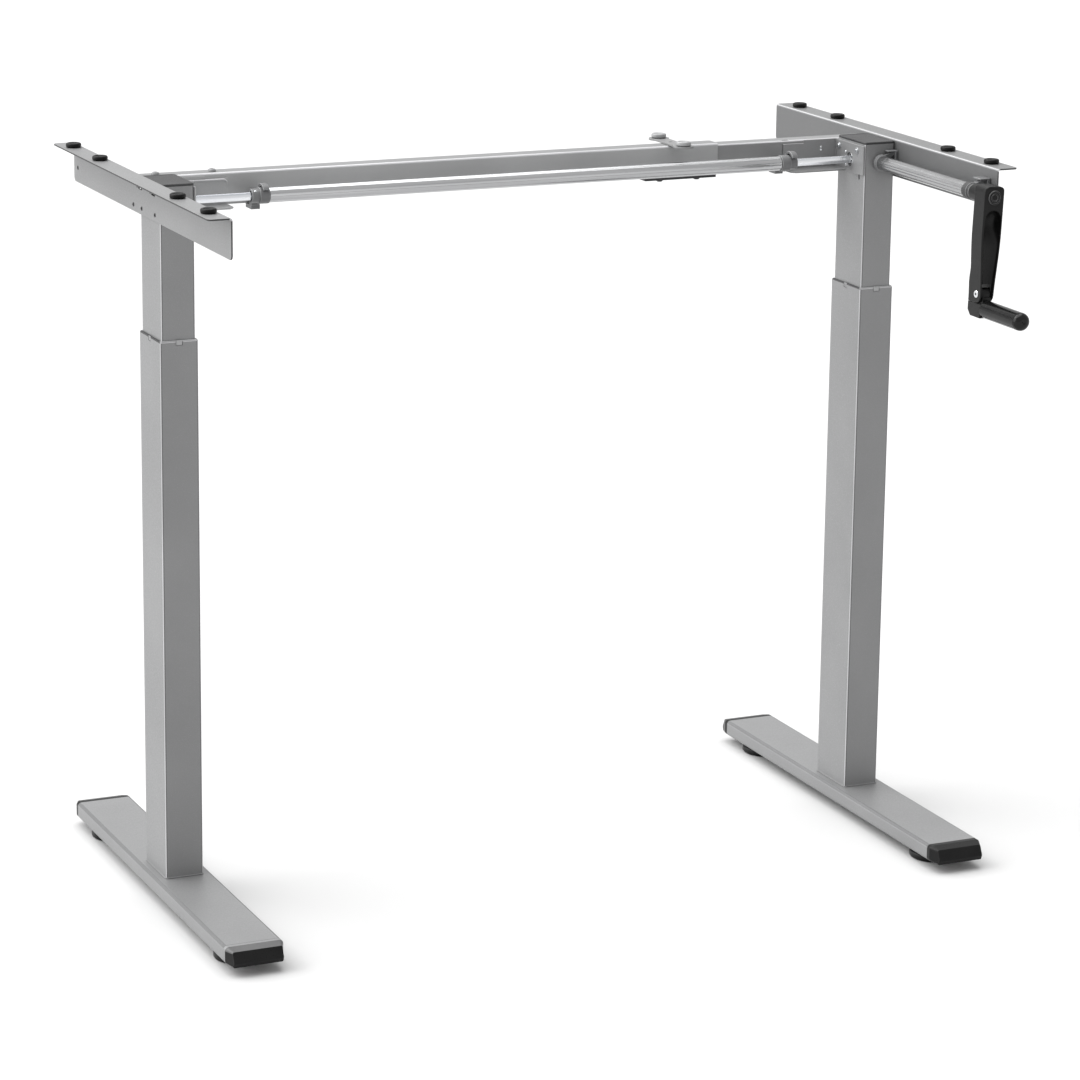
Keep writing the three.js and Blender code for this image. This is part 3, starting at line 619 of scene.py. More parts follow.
def make_outer_tube(label):
    low, high, centre, width, depth = plan_of(f"{label}_outer_tube")
    outer = rounded(width, depth, 3.2, 7, centre)
    inner = rounded(width, depth, 1.7, 7, centre, TUBE_WALL)
    rim = rounded(width, depth, 2.7, 7, centre, 0.5)
    rows = [(outer, low.z), (outer, high.z - 0.9), (rim, high.z), (inner, high.z), (inner, low.z)]
    piece = make_piece(f"{label}_outer_column", stack("z", rows, close=True), "powder_coat")
    x, y = centre
    for across, along in ((width / 2 + 5, RIM_WIDTH / 2), (RIM_WIDTH / 2, depth / 2 + 5)):
        cut(piece, box((x - across, y - along, high.z - RIM_DEPTH), (x + across, y + along, high.z + 3)))
    paint_upright_edges(piece)
    # Painted highlight on the rim's front and rear chamfers and painted shade on its side chamfers.
    paint(piece, "painted_highlight", lambda place, normal: 0.2 < normal.z < 0.9 and abs(normal.y) > abs(normal.x))
    paint(piece, "painted_shade_edge", lambda place, normal: 0.2 < normal.z < 0.9 and abs(normal.x) > abs(normal.y))
    set_piece(piece, f"{label}_outer_tube", "powder_coat", angle=50)

    bead = rounded(width, depth, 3.6, 7, centre, -0.8)
    weld = tube("z", low.z - 0.3, low.z + 1.4, bead, inner)
    add(f"{label}_column_weld", weld, "powder_coat", f"{label}_leg", "powder_coat", edge=0.7, steps=3)


def make_glide(label):
    """The liner in the outer tube's mouth: a lip on the rim and a sprung tab in each notch."""
    _, high, centre, width, depth = plan_of(f"{label}_outer_tube")
    *_, inner_width, inner_depth = plan_of(f"{label}_inner_tube")
    passage = (inner_width + 0.5, inner_depth + 0.5, 2.4)
    body = (width - 3.4, depth - 3.4, 1.6)
    top, bottom = high.z + 1, high.z - 60
    rows = [(width - 0.9, depth - 0.9, 2.6, high.z + 0.15), (width - 1.3, depth - 1.3, 2.4, top - 0.2),
            (width - 2.0, depth - 2.0, 2.2, top), (*passage, top), (*passage, bottom),
            (*body, bottom), (*body, high.z + 0.15)]
    outlines = [(rounded(*sizes, 7, centre), z) for *sizes, z in rows]
    parts = [stack("z", outlines, close=True)]
    for dx, dy in ((1, 0), (-1, 0), (0, 1), (0, -1)):
        x, y = centre[0] + dx * (width / 2 - 0.8), centre[1] + dy * (depth / 2 - 0.8)
        across = RIM_WIDTH / 2 - 0.6
        sx, sy = (0.7, across) if dx else (across, 0.7)
        parts.append(box((x - sx, y - sy, high.z - RIM_DEPTH + 0.4), (x + sx, y + sy, top + 0.4)))
    piece = make_piece(f"{label}_glide_liner", join(*parts), "liner")

    def on_side(place):
        return abs(place.x - centre[0]) > width / 2 - 4 and abs(place.y - centre[1]) < depth / 2 - 3

    # Painted shade along the lip's sides; painted light on the lip and tabs at front and rear, with a painted
    # highlight on their top.
    paint(piece, "painted_shade_edge", lambda place, normal: place.z > high.z and on_side(place))
    paint(piece, "lit_coat", lambda place, normal: place.z > high.z - RIM_DEPTH and not on_side(place))
    paint(piece, "painted_highlight",
          lambda place, normal: place.z > high.z and normal.z > 0.5 and not on_side(place))
    set_piece(piece, f"{label}_glide_sleeve", "grey_plastic", edge=0.3)


def make_inner_tube(label, side):
    low, high, centre, width, depth = plan_of(f"{label}_inner_tube")
    x, y = centre
    outer = rounded(width, depth, 3.0, 7, centre)
    inner = rounded(width, depth, 1.5, 7, centre, TUBE_WALL)
    piece = make_piece(f"{label}_inner_column", tube("z", low.z, high.z, outer, inner), "powder_coat")
    rod_z = middle_of(f"{label}_hex_rod").z
    face = x - side * width / 2
    cut(piece, prism("x", face - 3, face + 3, circle(ROD_HOLE, 32, (y, rod_z))))
    cut(piece, prism("x", face - 3, face + 3, slot_outline(3.4, 9, (y - 23, rod_z - 20))))
    outer_face = x + side * width / 2
    for row in SLOT_ROWS:
        slot = rounded(SLOT_LENGTH, SLOT_WIDTH, 1.1, 6, (y + row, high.z + 6 - SLOT_DROP))
        cut(piece, prism("x", outer_face - 3, outer_face + 3, slot))
    if side > 0:
        cut(piece, prism("y", low.y - 3, low.y + 3, circle(ROD_HOLE, 32, (x, rod_z))))
    paint_upright_edges(piece)
    set_piece(piece, f"{label}_inner_tube", "powder_coat", angle=50)
    flange = [(7.8, 0.1), (8.8, 0.3), (8.8, 1.6), (8.3, 2.3), (6.4, 2.4), (5.9, 2.0)]
    make_bushing(f"{label}_rod_bushing", "x", (y, rod_z), face, -side, f"{label}_frame", flange)
    if side > 0:
        flush = [(7.8, 0.0), (5.9, 0.0)]
        make_bushing("crank_bushing", "y", (x, rod_z), low.y, -1, f"{label}_frame", flush)


def make_bushing(name, axis, centre, face, sign, body, mouth):
    """A plain bearing in the column's wall, round a hexagon rod; mouth is (radius, reach) rows."""
    rows = [(circle(radius, 40, centre), face + sign * place)
            for radius, place in ((5.9, -1.4), (7.8, -1.4), *mouth)]
    add(name, stack(axis, rows, close=True), "aluminium_x", body, "plain_steel", angle=50)


def slot_outline(width, height, centre):
    """An upright slot with round ends."""
    x, y = centre
    straight = (height - width) / 2
    return arc(width / 2, 0, 180, 8, (x, y + straight)) + arc(width / 2, 180, 360, 8, (x, y - straight))


def make_tube_cap(label):
    """A flat plastic cap with a raised border round a slightly sunken panel."""
    low, high, centre, width, depth = plan_of(f"{label}_tube_cap")
    top, under = high.z, high.z - 2.7
    rows = [(1.8, 2.0, low.z), (1.8, 2.0, under), (0, 3.2, under), (-0.15, 3.4, under + 0.5),
            (-0.15, 3.4, top - 0.9), (0.45, 3.0, top), (2.5, 2.4, top), (3.2, 2.0, top - 0.5),
            (6, 1.6, top - 0.45)]  # inset, corner radius, z
    outlines = [(rounded(width, depth, radius, 6, centre, inset), z) for inset, radius, z in rows]
    cap = stack("z", outlines)
    add(f"{label}_column_cap", cap, "dark_grey", f"{label}_tube_cap", "grey_plastic", angle=30)


# ---------- the side angles
SHEET = 2
FOLD = 2.5  # fold radius at the middle of the sheet
FOLD_ARC = FOLD * math.pi / 2
BOLT_ROWS = (-25, 26, 58)  # from the column's middle
BOLT_RISE = 8  # from the web's lower edge


def make_side_angle(label, side):
    low, high = corners(f"{label}_side_angle")
    flange, web, length = high.x - low.x, high.z - low.z, high.y - low.y
    flat = flange - FOLD - SHEET / 2
    total = flat + FOLD_ARC + web - FOLD - SHEET / 2
    blank = rounded(total, length, 6, 8, (total / 2, 0))

    def on_web(y, drop):
        """The blank's place for a point of the web, drop below the flange's top."""
        return flat + FOLD_ARC + drop - FOLD - SHEET / 2, y

    holes = [circle(2.6, 20, on_web(y, web - BOLT_RISE)) for y in BOLT_ROWS]
    for y in SLOT_ROWS:
        holes.append(rounded(SLOT_WIDTH, SLOT_LENGTH, 1.4, 6, on_web(y, SLOT_DROP)))
        holes.append(circle(1.7, 16, on_web(y + 12, SLOT_DROP - 0.6)))
    if side < 0:
        holes.append(circle(2.8, 20, on_web(length / 2 - 16, web * 0.62)))
    shape = plate([blank, *holes], SHEET)
    # The sheet's cut edges take the near-black painted shade.
    for face in shape.faces:
        face.material_index = 1 if abs(face.normal.z) < 0.5 else 0
    bend(shape, flat, FOLD)
    outer = high.x if side > 0 else low.x
    turn = Matrix(((-side, 0, 0), (0, 1, 0), (0, 0, -1))).to_4x4()
    moved(shape, Matrix.Translation((outer, (low.y + high.y) / 2, high.z - SHEET / 2)) @ turn)
    piece = make_piece(f"{label}_folded_angle", shape, "powder_coat")
    piece.data.materials.append(LOOKS["painted_shade_edge"])
    # Painted highlight along the fold; on the right angle, painted shade on the web and lighter painted shade
    # on the flange.
    paint(piece, "painted_highlight", lambda place, normal: normal.z > 0.5 and side * normal.x < -0.5)
    if side > 0:
        paint(piece, "deep_shade_coat", lambda place, normal: normal.x < -0.95)
        paint(piece, "half_shade_coat", lambda place, normal: normal.z > 0.95)
    fold_x = outer - side * flange

    # A painted glint at each end of the fold.
    def fold_end_glint(place, normal):
        return abs(normal.y) > 0.9 and math.hypot(place.x - fold_x, place.z - high.z) < 5

    paint(piece, "painted_highlight", fold_end_glint)
    set_piece(piece, f"{label}_side_angle", "powder_coat", angle=60)
    make_angle_bolts(label, side, low.z + BOLT_RISE)


def make_angle_bolts(label, side, z):
    """Button heads on the web's outer face, over the column."""
    low, high, centre, *_ = plan_of(f"{label}_inner_tube")
    face = (high.x if side > 0 else low.x) + side * (SHEET + 0.3)
    head = [(0, 0.9, 2.6), (0, 1.6, 2.6), (0, 2.1, 2.6), (2.3, 2.2), (2.5, 1.9), (2.5, -1), (0, -1)]
    for i, y in enumerate(BOLT_ROWS, 1):
        profile = [(radius, side * face + place - 1.6, *flats) for radius, place, *flats in head]
        add(f"{label}_angle_bolt_{i}", lathe("x", (centre[1] + y, z), profile, 24, side),
            "black_screw", f"{label}_frame", "plain_steel", angle=30)


def add_dish(name, node, look, slot, under, over, hole):
    """A round pad in a node's place: rows of (inset, rise from its underside), of (inset, drop
    from its top) and, for the hole in its middle, of (radius, drop)."""
    low, high, centre, width, _ = plan_of(node)
    profile = [(0, low.z)]
    profile += [(width / 2 - inset, low.z + rise) for inset, rise in under]
    profile += [(width / 2 - inset, high.z - drop) for inset, drop in over]
    profile += [(radius, high.z - drop) for radius, drop in hole]
    add(name, lathe("z", centre, profile, 56), look, node, slot, angle=60)


def make_pad(label, index):
    add_dish(f"{label}_rubber_pad_{index}", f"{label}_pad_{index}", "rubber", "pad_rubber",
             [(1.3, 0), (0.3, 0.6), (0, 1.6)],
             [(0, 1.9), (0.5, 0.7), (1.6, 0.05), (2.6, 0), (3.3, 0.5), (3.9, 1.1)],
             [(4.0, 1.2), (3.3, 1.5), (2.6, 2.6), (2.5, 3.6), (0, 3.7)])


def make_support_pad(end):
    add_dish(f"{end}_support_pad", f"support_pad_{end}", "pale", "pale_plastic",
             [(1.5, 0), (0.2, 0.8), (0, 1.8)],
             [(0, 1.6), (0.6, 0.5), (1.7, 0), (2.6, 0.1), (3.2, 0.9)],
             [(3.6, 1.0), (3.0, 1.8), (2.4, 3.4), (0, 3.5)])


# ---------- the crossbeam
def make_channel(node, name, sheet, radius, web_shading, holes=()):
    """A folded channel, open to the rear; holes are on its top flange as (x, y, width, length)."""
    low, high = corners(node)
    length, depth, height = high.x - low.x, high.y - low.y, high.z - low.z
    fold = radius * math.pi / 2
    flat = depth - radius - sheet / 2
    web = height - 2 * radius - sheet
    total = 2 * flat + 2 * fold + web
    blank = rounded(total, length, 2.5, 4, (total / 2, length / 2))
    cuts = [rounded(width, long, width / 2 - 0.1, 6, (total - (high.y - y), high.x - x))
            for x, y, width, long in holes]
    shape = plate([blank, *cuts], sheet, 0.25)
    bend(shape, flat + fold + web, radius)
    bend(shape, flat, radius)
    turn = Matrix(((0, -1, 0), (-1, 0, 0), (0, 0, 1))).to_4x4()
    moved(shape, Matrix.Translation((high.x, high.y, low.z + sheet / 2)) @ turn)
    piece = make_piece(name, shape, "powder_coat")
    # Painted highlight along the front folds; the web's front face takes the look given for it, which on the
    # outer beam is the lighter, lit copy of the coat as painted light.
    paint(piece, "painted_highlight", lambda place, normal: normal.z > 0.3 and normal.y < -0.3)
    paint(piece, web_shading, lambda place, normal: normal.y < -0.95)
    set_piece(piece, node, "powder_coat", angle=60)


def make_bracket(label):
    """The folded bracket's own shape with eased edges and a painted highlight on its top; the left one is in
    the lighter, lit copy of the coat as painted light.
    """
    node = f"{label}_bracket"
    top = corners(node)[1].z - 6
    piece = copy_piece(node, f"{label}_beam_bracket", "lit_coat" if label == "left" else "powder_coat")
    paint(piece, "painted_highlight", lambda place, normal: normal.z > 0.7 and place.z > top and place.y > 90)
    set_piece(piece, node, "powder_coat", edge=0.5, angle=30)


def make_bracket_rib():
    """A rounded rib along the top of the left bracket's plate, turned down at its end, all in painted
    highlight.
    """
    low, high = corners("left_bracket")
    front = plate_front("left")
    top, start, end = high.z - 4.2, low.x + 0.3, high.x - 0.4
    outline = [(start, top), (end - 4.5, top), (end - 1.2, top - 2.2), (end, top - 5.0),
               (end - 2.0, top - 5.0), (end - 2.9, top - 3.2), (end - 5.2, top - 2.2), (start, top - 2.2)]
    rib = prism("y", front - 2.2, front + 0.3, outline)
    add("left_bracket_rib", rib, "painted_highlight", "left_frame", "powder_coat", edge=0.8, steps=3, angle=50)


def plate_front(label):
    """The front face of a bracket's plate, which stands just before the beam's web."""
    beam = corners("outer_beam")[0].y
    return beam - 0.3 - SHEET if label == "left" else beam


def make_support():
    """A short bar across the crossbeam, with a waist between its round ends."""
    low, high, _, width, length = plan_of("support_bar")
    waist, straight = width / 2 - 4, length / 2 - width / 2
    outline = []
    for end in (1, -1):
        outline += arc(width / 2, 90 - 90 * end, 270 - 90 * end, 12, (0, end * straight))
        outline += [(-end * waist, end * (straight - 9)), (-end * waist, -end * (straight - 9))]
    bar = plate([outline, circle(2.6, 20)], high.z - low.z)
    moved(bar, Matrix.Translation((low + high) / 2))
    add("centre_support", bar, "powder_coat", "support_bar", "powder_coat", angle=60)
    for end in ("front", "rear"):
        make_support_pad(end)


def make_clamp():
    low, high, centre, width, depth = plan_of("clamp_strip")
    strip = prism("z", low.z, high.z, rounded(width, depth, 2, 4, centre))
    add("clamp_bar", strip, "black_screw", "clamp_strip", "black_plastic", edge=0.5)
    for i, x in enumerate((high.x - 78, high.x - 24), 1):
        add_screw(f"clamp_screw_{i}", "z", (x, centre[1]), low.z, -1, 4.6, "black_screw", "left_frame")


# ---------- the fasteners
CLIP_SCREW = (389, 100)


def add_screw(name, axis, place, face, sign, radius, look, body, washer=0.0):
    """A dome head with a hexagon socket, standing on a face; sign is the way that it points."""
    tall = radius * 0.62
    across = radius * 0.85
    rows = [(0, -0.6), (radius * 0.6, -0.6), (radius * 0.6, 0)]
    if washer:
        rows += [(washer, 0), (washer, 0.6), (washer - 0.3, 0.9), (radius, 0.9)]
    base = rows[-1][1]
    for step in range(6):
        turn = math.radians(15 * step)
        rows.append((radius * (1 - 0.42 * (1 - math.cos(turn))), base + 0.3 + tall * math.sin(turn)))
    top = rows[-1][1]
    rows += [(0, top + 0.05, across), (0, top - tall * 0.75, across * 0.98), (0, top - tall * 0.8)]
    profile = [(reach, sign * face + rise, *flats) for reach, rise, *flats in rows]
    add(name, lathe(axis, place, profile, 36, sign), look, body, "plain_steel", angle=35)


def make_fasteners():
    beam_low, beam_high = corners("outer_beam")
    for i, x in enumerate((-486, -412), 1):
        add_screw(f"beam_screw_{i}", "z", (x, beam_low.y + 11), beam_high.z, 1, 5.2, "liner", "left_frame")

    low, _, centre, *_ = plan_of("right_inner_tube")
    rod_z = middle_of("right_hex_rod").z
    face = low.x - 2.3
    bolt, screw = (2.7, "steel", "right_frame", 4.2), (1.8, "zinc", "right_frame")
    for name, dy, dz, kind in (("bracket_bolt_1", 29, 14, bolt), ("bracket_bolt_2", -20, 14, bolt),
                               ("gearbox_screw_1", 10, 8.5, screw), ("gearbox_screw_2", 9, -9, screw)):
        add_screw(name, "x", (centre[1] + dy, rod_z + dz), face, -1, *kind)
    for i, dz in enumerate((12, 8), 1):
        place = (440, rod_z + dz)
        add_screw(f"bracket_rivet_{i}", "y", place, plate_front("right"), -1, 1.4, "zinc", "right_frame")

    low, high = corners("inner_beam")
    bottom, top = low.z - 5, high.z - 1.2
    shank = lathe("z", CLIP_SCREW, [(0, bottom), (2, bottom), (2, top), (0, top)], 24)
    add("clip_screw_shank", shank, "black_screw", "right_frame", "plain_steel")
    add_screw("clip_screw_head", "z", CLIP_SCREW, low.z - 3, -1, 3.6, "black_screw", "right_frame")


# ---------- the drive train
FLUTES, FLUTE_DEPTH = 6, 0.55
SHAFT_BORE = 6.2


def fluted(radius, steps=60):
    """A round outline with shallow grooves along it."""
    points = []
    for i in range(steps):
        turn = 2 * math.pi * i / steps
        r = radius - FLUTE_DEPTH * max(0.0, math.cos(turn * FLUTES)) ** 3
        points.append((r * math.cos(turn), r * math.sin(turn)))
    return points


def make_shaft_tube(node, name, axis, look):
    low, high = corners(node)
    middle = (low + high) / 2
    if axis == "x":
        start, end, centre = low.x, high.x, (middle.y, middle.z)
    else:
        start, end, centre = low.y, high.y, (middle.x, middle.z)
    outer = fluted((high.z - low.z) / 2)
    inner = circle(SHAFT_BORE, len(outer))
    rows = []
    for outline, scale, w in ((outer, 0.94, start), (outer, 1, start + 0.6), (outer, 1, end - 0.6),
                              (outer, 0.94, end), (inner, 1, end), (inner, 1, start)):
        rows.append(([(centre[0] + scale * u, centre[1] + scale * v) for u, v in outline], w))
    add(name, stack(axis, rows, close=True), look, node, "satin_aluminium", angle=50)


def make_hex_rod(node, name, look):
    """A hexagon rod's own shape, with a chamfer at each end."""
    set_piece(copy_piece(node, name, look), node, "zinc_rod", edge=0.35, angle=30)


# ---------- the clips
def arc_strip(axis, start, end, centre, inner, outer, first, last):
    """Part of a ring: from one angle to another, in degrees."""
    outline = arc(outer, first, last, 18, centre) + arc(inner, last, first, 18, centre)
    return prism(axis, start, end, outline)


def sleeve(axis, start, end, centre, outer, inner):
    return tube(axis, start, end, circle(outer, 48, centre), circle(inner, 48, centre))


def make_rod_clip(label):
    """Two collars round the rod, an open hook over them, an arm to the web and a toe."""
    node = f"{label}_rod_clip"
    low, high = corners(node)
    rod = middle_of(f"{label}_hex_rod")
    y, z = rod.y, rod.z
    web = plate_front(label) if label == "left" else corners("inner_beam")[0].y
    near, far = (low.x, low.x + 13) if label == "right" else (high.x - 13, high.x)
    arm, end = high.x - 12, high.x
    hook = (high.x - 10, high.x - 2)
    parts = [
        sleeve("x", low.x, high.x, (y, z), 9.0, 6.2),
        sleeve("x", near, far, (y, z), 10.5, 6.4),
        arc_strip("x", *hook, (y - 0.5, z + 2), 10.0, 13.2, 24, 150),
        box((hook[0], y + 7, z + 1), (hook[1], y + 11.5, z + 8)),
        box((arm, y + 5, z - 7.8), (end, web - 0.4, z - 0.2)),
        box((arm + 0.2, web - 7.6, low.z + 0.2), (end - 0.2, web - 0.6, z - 0.5)),
        box((arm, web - 7.9, low.z), (end, high.y, low.z + 5.6)),
    ]
    # The eased edges take the pale liner look as a painted highlight.
    add(f"{label}_bearing_clip", join(*parts), "grey", node, "grey_plastic", edge=0.6, bevel_highlight="liner")
    fixing = (low.x + 4.5, z + 5.5)
    add_screw(f"{label}_clip_fixing", "y", fixing, y - 5.2, -1, 2.2, "zinc", f"{label}_frame")


def make_crank_clip(end):
    """A ring on the crank shaft, a slanted strut and a T-shaped top, on the side angle's web."""
    node = f"crank_clip_{end}"
    low, high = corners(node)
    shaft = middle_of("crank_shaft")
    x, z = shaft.x, shaft.z
    web = high.x
    depth = high.y - low.y
    strut = [(x + 2, z + 9.4), (x + 9, z + 5), (web - 3.4, z + 10), (web - 3.4, z + 14.2), (x + 9.5, z + 12)]
    parts = [
        sleeve("y", low.y, high.y, (x, z), 10.2, 6.2),
        sleeve("y", low.y + 0.3 * depth, high.y - 0.3 * depth, (x, z), 11.0, 6.4),
        prism("y", low.y + 0.28 * depth, high.y - 0.28 * depth, strut),
        box((web - 4.2, low.y + 0.1, z - 8), (web - 0.2, high.y - 0.1, z + 14.3)),
        box((web - 15, low.y, z + 14), (web - 0.1, high.y, z + 16)),
        box((x + 7, low.y + 1, z - 5), (web - 1, high.y - 1, z + 2)),
    ]
    piece = make_piece(f"crank_bearing_{end}", join(*parts), "grey")
    # The eased edges take the pale liner look as a painted highlight.
    set_piece(piece, node, "grey_plastic", edge=0.5, bevel_highlight="liner")
    # Painted shade on the front clip's ring round the shaft.
    if end == "front":
        paint(piece, "dark_grey", lambda place, normal: math.hypot(place.x - x, place.z - z) < 12)


# ---------- the crank
# The handle is made in its own frame: x and z from the crank's axis, with the arm straight down.
ARM_LENGTH = 124  # from the crank's axis to the grip's pivot
ARM_TILT = math.radians(2.5)
ARM_FRONT, ARM_REAR, ARM_BULGE = -279, -252, -248
ARM_ROUNDING = 1.8
BOWL_DEPTH, BOWL_MIDDLE, BOWL_RADIUS = 15.5, -34, 18.5
PIVOT_Y = -268
GRIP_DROP = 18
GRIP_Z = -ARM_LENGTH - GRIP_DROP


def on_handle(bm):
    """Moves a shape from the handle's own frame to the object's."""
    centre = middle_of("crank_shaft")
    return moved(bm, Matrix.Translation((centre.x, 0, centre.z)) @ Matrix.Rotation(ARM_TILT, 4, "Y"))


def smooth_step(value, start, end):
    t = min(1, max(0, (value - start) / (end - start)))
    return t * t * (3 - 2 * t)


def arm_half_width(z):
    """Wide at the top, narrowing on a curve to the pivot."""
    return 14 - 4.5 * smooth_step(z, -44, -ARM_LENGTH - 14)


def trough_reach(z, half):
    """Half the width of the hollow in the arm's front: round at its top, then almost the arm's."""
    top, round_end = -16, -30
    if z >= top:
        return 0
    above = max(0, z - round_end) / (top - round_end)
    return (half - 2) * math.sqrt(1 - above ** 2)


def trough_depth(z):
    """A deep bowl at the top that rises gently into a shallower channel below it."""
    if z > BOWL_MIDDLE:
        return BOWL_DEPTH * math.sqrt(max(0, 1 - ((z - BOWL_MIDDLE) / BOWL_RADIUS) ** 2))
    return BOWL_DEPTH - 9 * smooth_step(z, -36, -62)


def arm_section(z, inset):
    """The arm's outline at a height: a rounded block with a hollow in its front."""
    half = arm_half_width(z) - inset
    if z > 8:
        half -= 6 - math.sqrt(max(0, 36 - (z - 8) ** 2))
    front = ARM_FRONT + inset
    rear = ARM_REAR + (ARM_BULGE - ARM_REAR) * smooth_step(z, -88, -112) - inset
    below = -ARM_LENGTH - z
    if below > 0:
        front = max(front, PIVOT_Y - math.sqrt(max(0, 121 - below * below)) + inset)
    reach = trough_reach(z, half)
    depth = trough_depth(z) if reach else 0
    reach = max(reach, 0.02)
    depth = max(depth, 0.002)
    points = []
    for step in range(29):
        u = -math.cos(math.pi * step / 28)
        points.append((reach * u, front + depth * (1 - abs(u) ** 3) ** (1 / 2.4)))
    side, near, far = half - ARM_ROUNDING, front + ARM_ROUNDING, rear - ARM_ROUNDING
    for start, corner in ((-90, (side, near)), (0, (side, far)), (90, (-side, far)), (180, (-side, near))):
        points += arc(ARM_ROUNDING, start, start + 90, 5, corner)
    return points, z


def make_arm():
    low = -ARM_LENGTH - 11
    heights = [(14, 2.0), (13.6, 1.1), (12.8, 0.4), (11.6, 0)]
    heights += [(z, 0) for z in range(10, -15, -3)]
    heights += [(-16 - 14 * (1 - math.cos(math.pi * i / 32)), 0) for i in range(17)]
    heights += [(-32 - 2.5 * i, 0) for i in range(10)]
    heights += [(-57 - 6 * i, 0) for i in range(12)]
    heights += [(-ARM_LENGTH - 11 * math.sin(math.pi * i / 20), 0) for i in range(1, 10)]
    heights += [(low + 0.05, 0.6)]
    arm = stack("z", [arm_section(z, inset) for z, inset in heights])
    piece = make_piece("crank_arm_body", on_handle(arm), "black", weld=0.001)
    cut(piece, on_handle(box((-6.4, ARM_FRONT - 4, low - 4), (6.4, ARM_BULGE + 4, -ARM_LENGTH + 13))))
    nest = [(0, -115), (11.8, -115), (11.8, -30), (11.0, -26.5), (8.7, -23), (5.2, -21), (0, -20.6)]
    cut(piece, on_handle(lathe("z", (0, PIVOT_Y - GRIP_DROP), nest, 64)))
    set_piece(piece, "crank_arm", "black_plastic", angle=38)

    start = ARM_REAR + 0.1
    rows = [(0, start), (12, start), (11, -249), (11, -232), (10, -230.6), (0, -230.6)]
    hub = on_handle(lathe("y", (0, 0), rows, 48))
    add("crank_hub", hub, "black", "crank", "black_plastic")

    rings = [(0, 0.5), (3.6, 0.5), (4.2, 1.2), (5.0, 1.3), (5.6, 0.5), (7.0, 0.4), (7.6, 1.3), (8.6, 1.4),
             (9.2, 0.6), (9.2, -0.6), (0, -0.6)]
    boss = lathe("y", (0, 0), [(radius, place - ARM_FRONT) for radius, place in rings], 48, -1)
    piece = make_piece("crank_boss", on_handle(boss), "black")
    # Painted highlight on the boss's rings and sides.
    paint(piece, "highlit_black", lambda place, normal: normal.y > -0.9)
    set_piece(piece, "crank", "black_plastic", angle=25)


def make_pivot():
    """The pin through the arm's ears: a head with a hexagon socket at each side."""
    half = 9.7
    rows = [(0, half - 8), (2.5, half - 8), (2.5, half - 0.4), (4.7, half - 0.4), (4.7, half + 0.4),
            (4.2, half + 0.9), (0, half + 0.9, 3.4), (0, half - 0.8, 3.4), (0, half - 0.9)]
    for name, side, home in (("left", -1, "grip_pivot_pin"), ("right", 1, "crank")):
        head = on_handle(lathe("x", (PIVOT_Y, -ARM_LENGTH), rows, 36, side))
        add(f"grip_pivot_screw_{name}", head, "zinc", home, "zinc_rod", angle=35)


def make_knuckle():
    """The folding knuckle: a block under the arm and a tongue up between its ears."""
    top, bottom = -ARM_LENGTH - 11.6, GRIP_Z - 11.5
    block = prism("x", -9, 9, [(ARM_FRONT, top), (ARM_BULGE, top), (ARM_BULGE, bottom + 7),
                               (ARM_BULGE - 7, bottom), (ARM_FRONT, bottom)])
    tongue = box((-5.9, PIVOT_Y - 7.9, top - 1), (5.9, PIVOT_Y + 7.9, -ARM_LENGTH + 0.1))
    step = box((-5.8, ARM_FRONT + 0.4, top - 0.9), (5.8, PIVOT_Y - 6, -ARM_LENGTH - 3))
    crown = prism("x", -6.0, 6.0, circle(8, 40, (PIVOT_Y, -ARM_LENGTH)))
    front, rear = ARM_FRONT - 0.2, ARM_FRONT + 1
    collar = lathe("y", (0, GRIP_Z), [(0, rear), (8.8, rear), (8.8, front), (0, front)], 48)
    shape = on_handle(join(block, tongue, step, crown, collar))
    add("folding_knuckle", shape, "black", "grip_knuckle", "black_plastic", edge=1.0, steps=3)


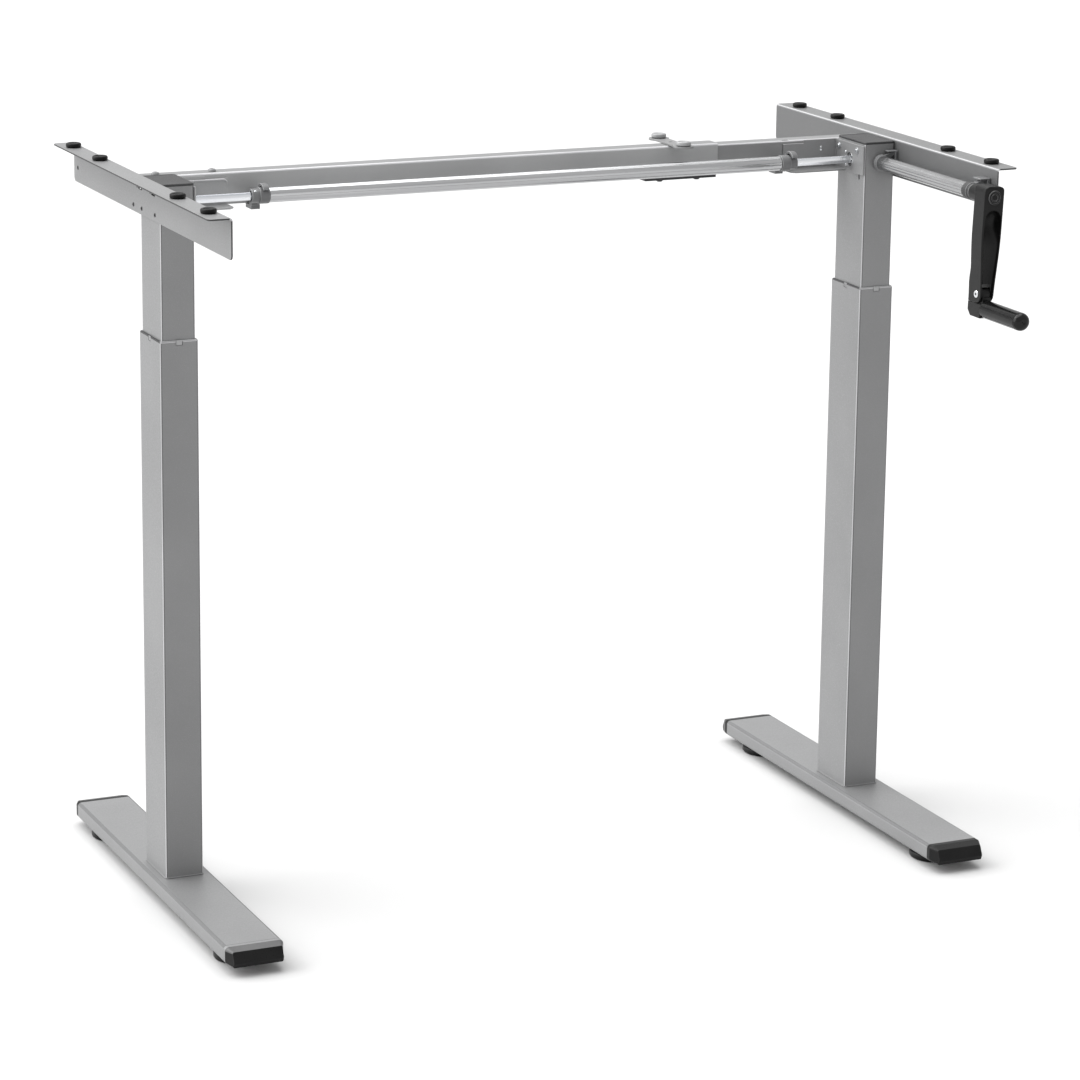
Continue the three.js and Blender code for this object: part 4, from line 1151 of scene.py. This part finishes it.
def make_grip():
    """A round turning grip with a domed end and a dimple."""
    low, high, _, width, _ = plan_of("crank_grip")
    radius, front, rear = width / 2, low.y, high.y
    rows = [(0, rear), (radius - 1.4, rear), (radius - 0.4, rear - 0.5), (radius, rear - 1.5),
            (radius, front + 9), (radius, front + 8.4), (radius - 0.5, front + 8),
            (radius - 0.5, front + 7.6), (radius - 0.1, front + 7.2)]
    for u, v in arc(1, 0, 90, 8)[1:]:
        rows.append((3.2 + (radius - 3.3) * u, front + 7.2 - 7.2 * v))
    rows += [(2.6, front + 0.2), (1.6, front + 1.3), (0, front + 1.7)]
    grip = on_handle(lathe("y", (0, GRIP_Z), rows[::-1], 64))
    add("turning_grip", grip, "gloss_black", "crank_grip", "black_plastic", angle=45)


# ---------- the scene
def dress_hidden_nodes():
    """Gives the CAD nodes that stay their own finish."""
    looks = {"crank_pinion": "brass"}
    for label, _ in SIDES:
        looks[f"{label}_rod_pinion"] = "brass"
        for name in ("lift_nut", "gear_housing", "lead_screw", "spindle_gear"):
            looks[f"{label}_{name}"] = "steel"
    for node, look in looks.items():
        materials = frame["nodes"][node].data.materials
        materials.clear()
        materials.append(LOOKS[look])


make_camera()
make_studio()
dress_hidden_nodes()
for label, side in SIDES:
    make_foot(label)
    for end in ("front", "rear"):
        make_leveller(label, end)
    make_outer_tube(label)
    make_glide(label)
    make_inner_tube(label, side)
    make_tube_cap(label)
    make_side_angle(label, side)
    for index in (1, 2, 3, 4):
        make_pad(label, index)
    make_bracket(label)
    if label == "left":
        make_bracket_rib()
    make_rod_clip(label)
make_channel("outer_beam", "outer_crossbeam", SHEET, FOLD, "lit_coat")
make_channel("inner_beam", "inner_crossbeam", 1.5, 2.0, "powder_coat", [(*CLIP_SCREW, 4.5, 12)])
make_support()
make_clamp()
make_fasteners()
make_shaft_tube("drive_tube", "drive_shaft_tube", "x", "aluminium_x")
make_shaft_tube("crank_tube", "crank_shaft_tube", "y", "aluminium_y")
make_hex_rod("left_hex_rod", "left_drive_rod", "zinc_x")
make_hex_rod("right_hex_rod", "right_drive_rod", "zinc_x")
make_hex_rod("crank_shaft", "crank_rod", "zinc_y")
for end in ("front", "rear"):
    make_crank_clip(end)
make_arm()
make_pivot()
make_knuckle()
make_grip()
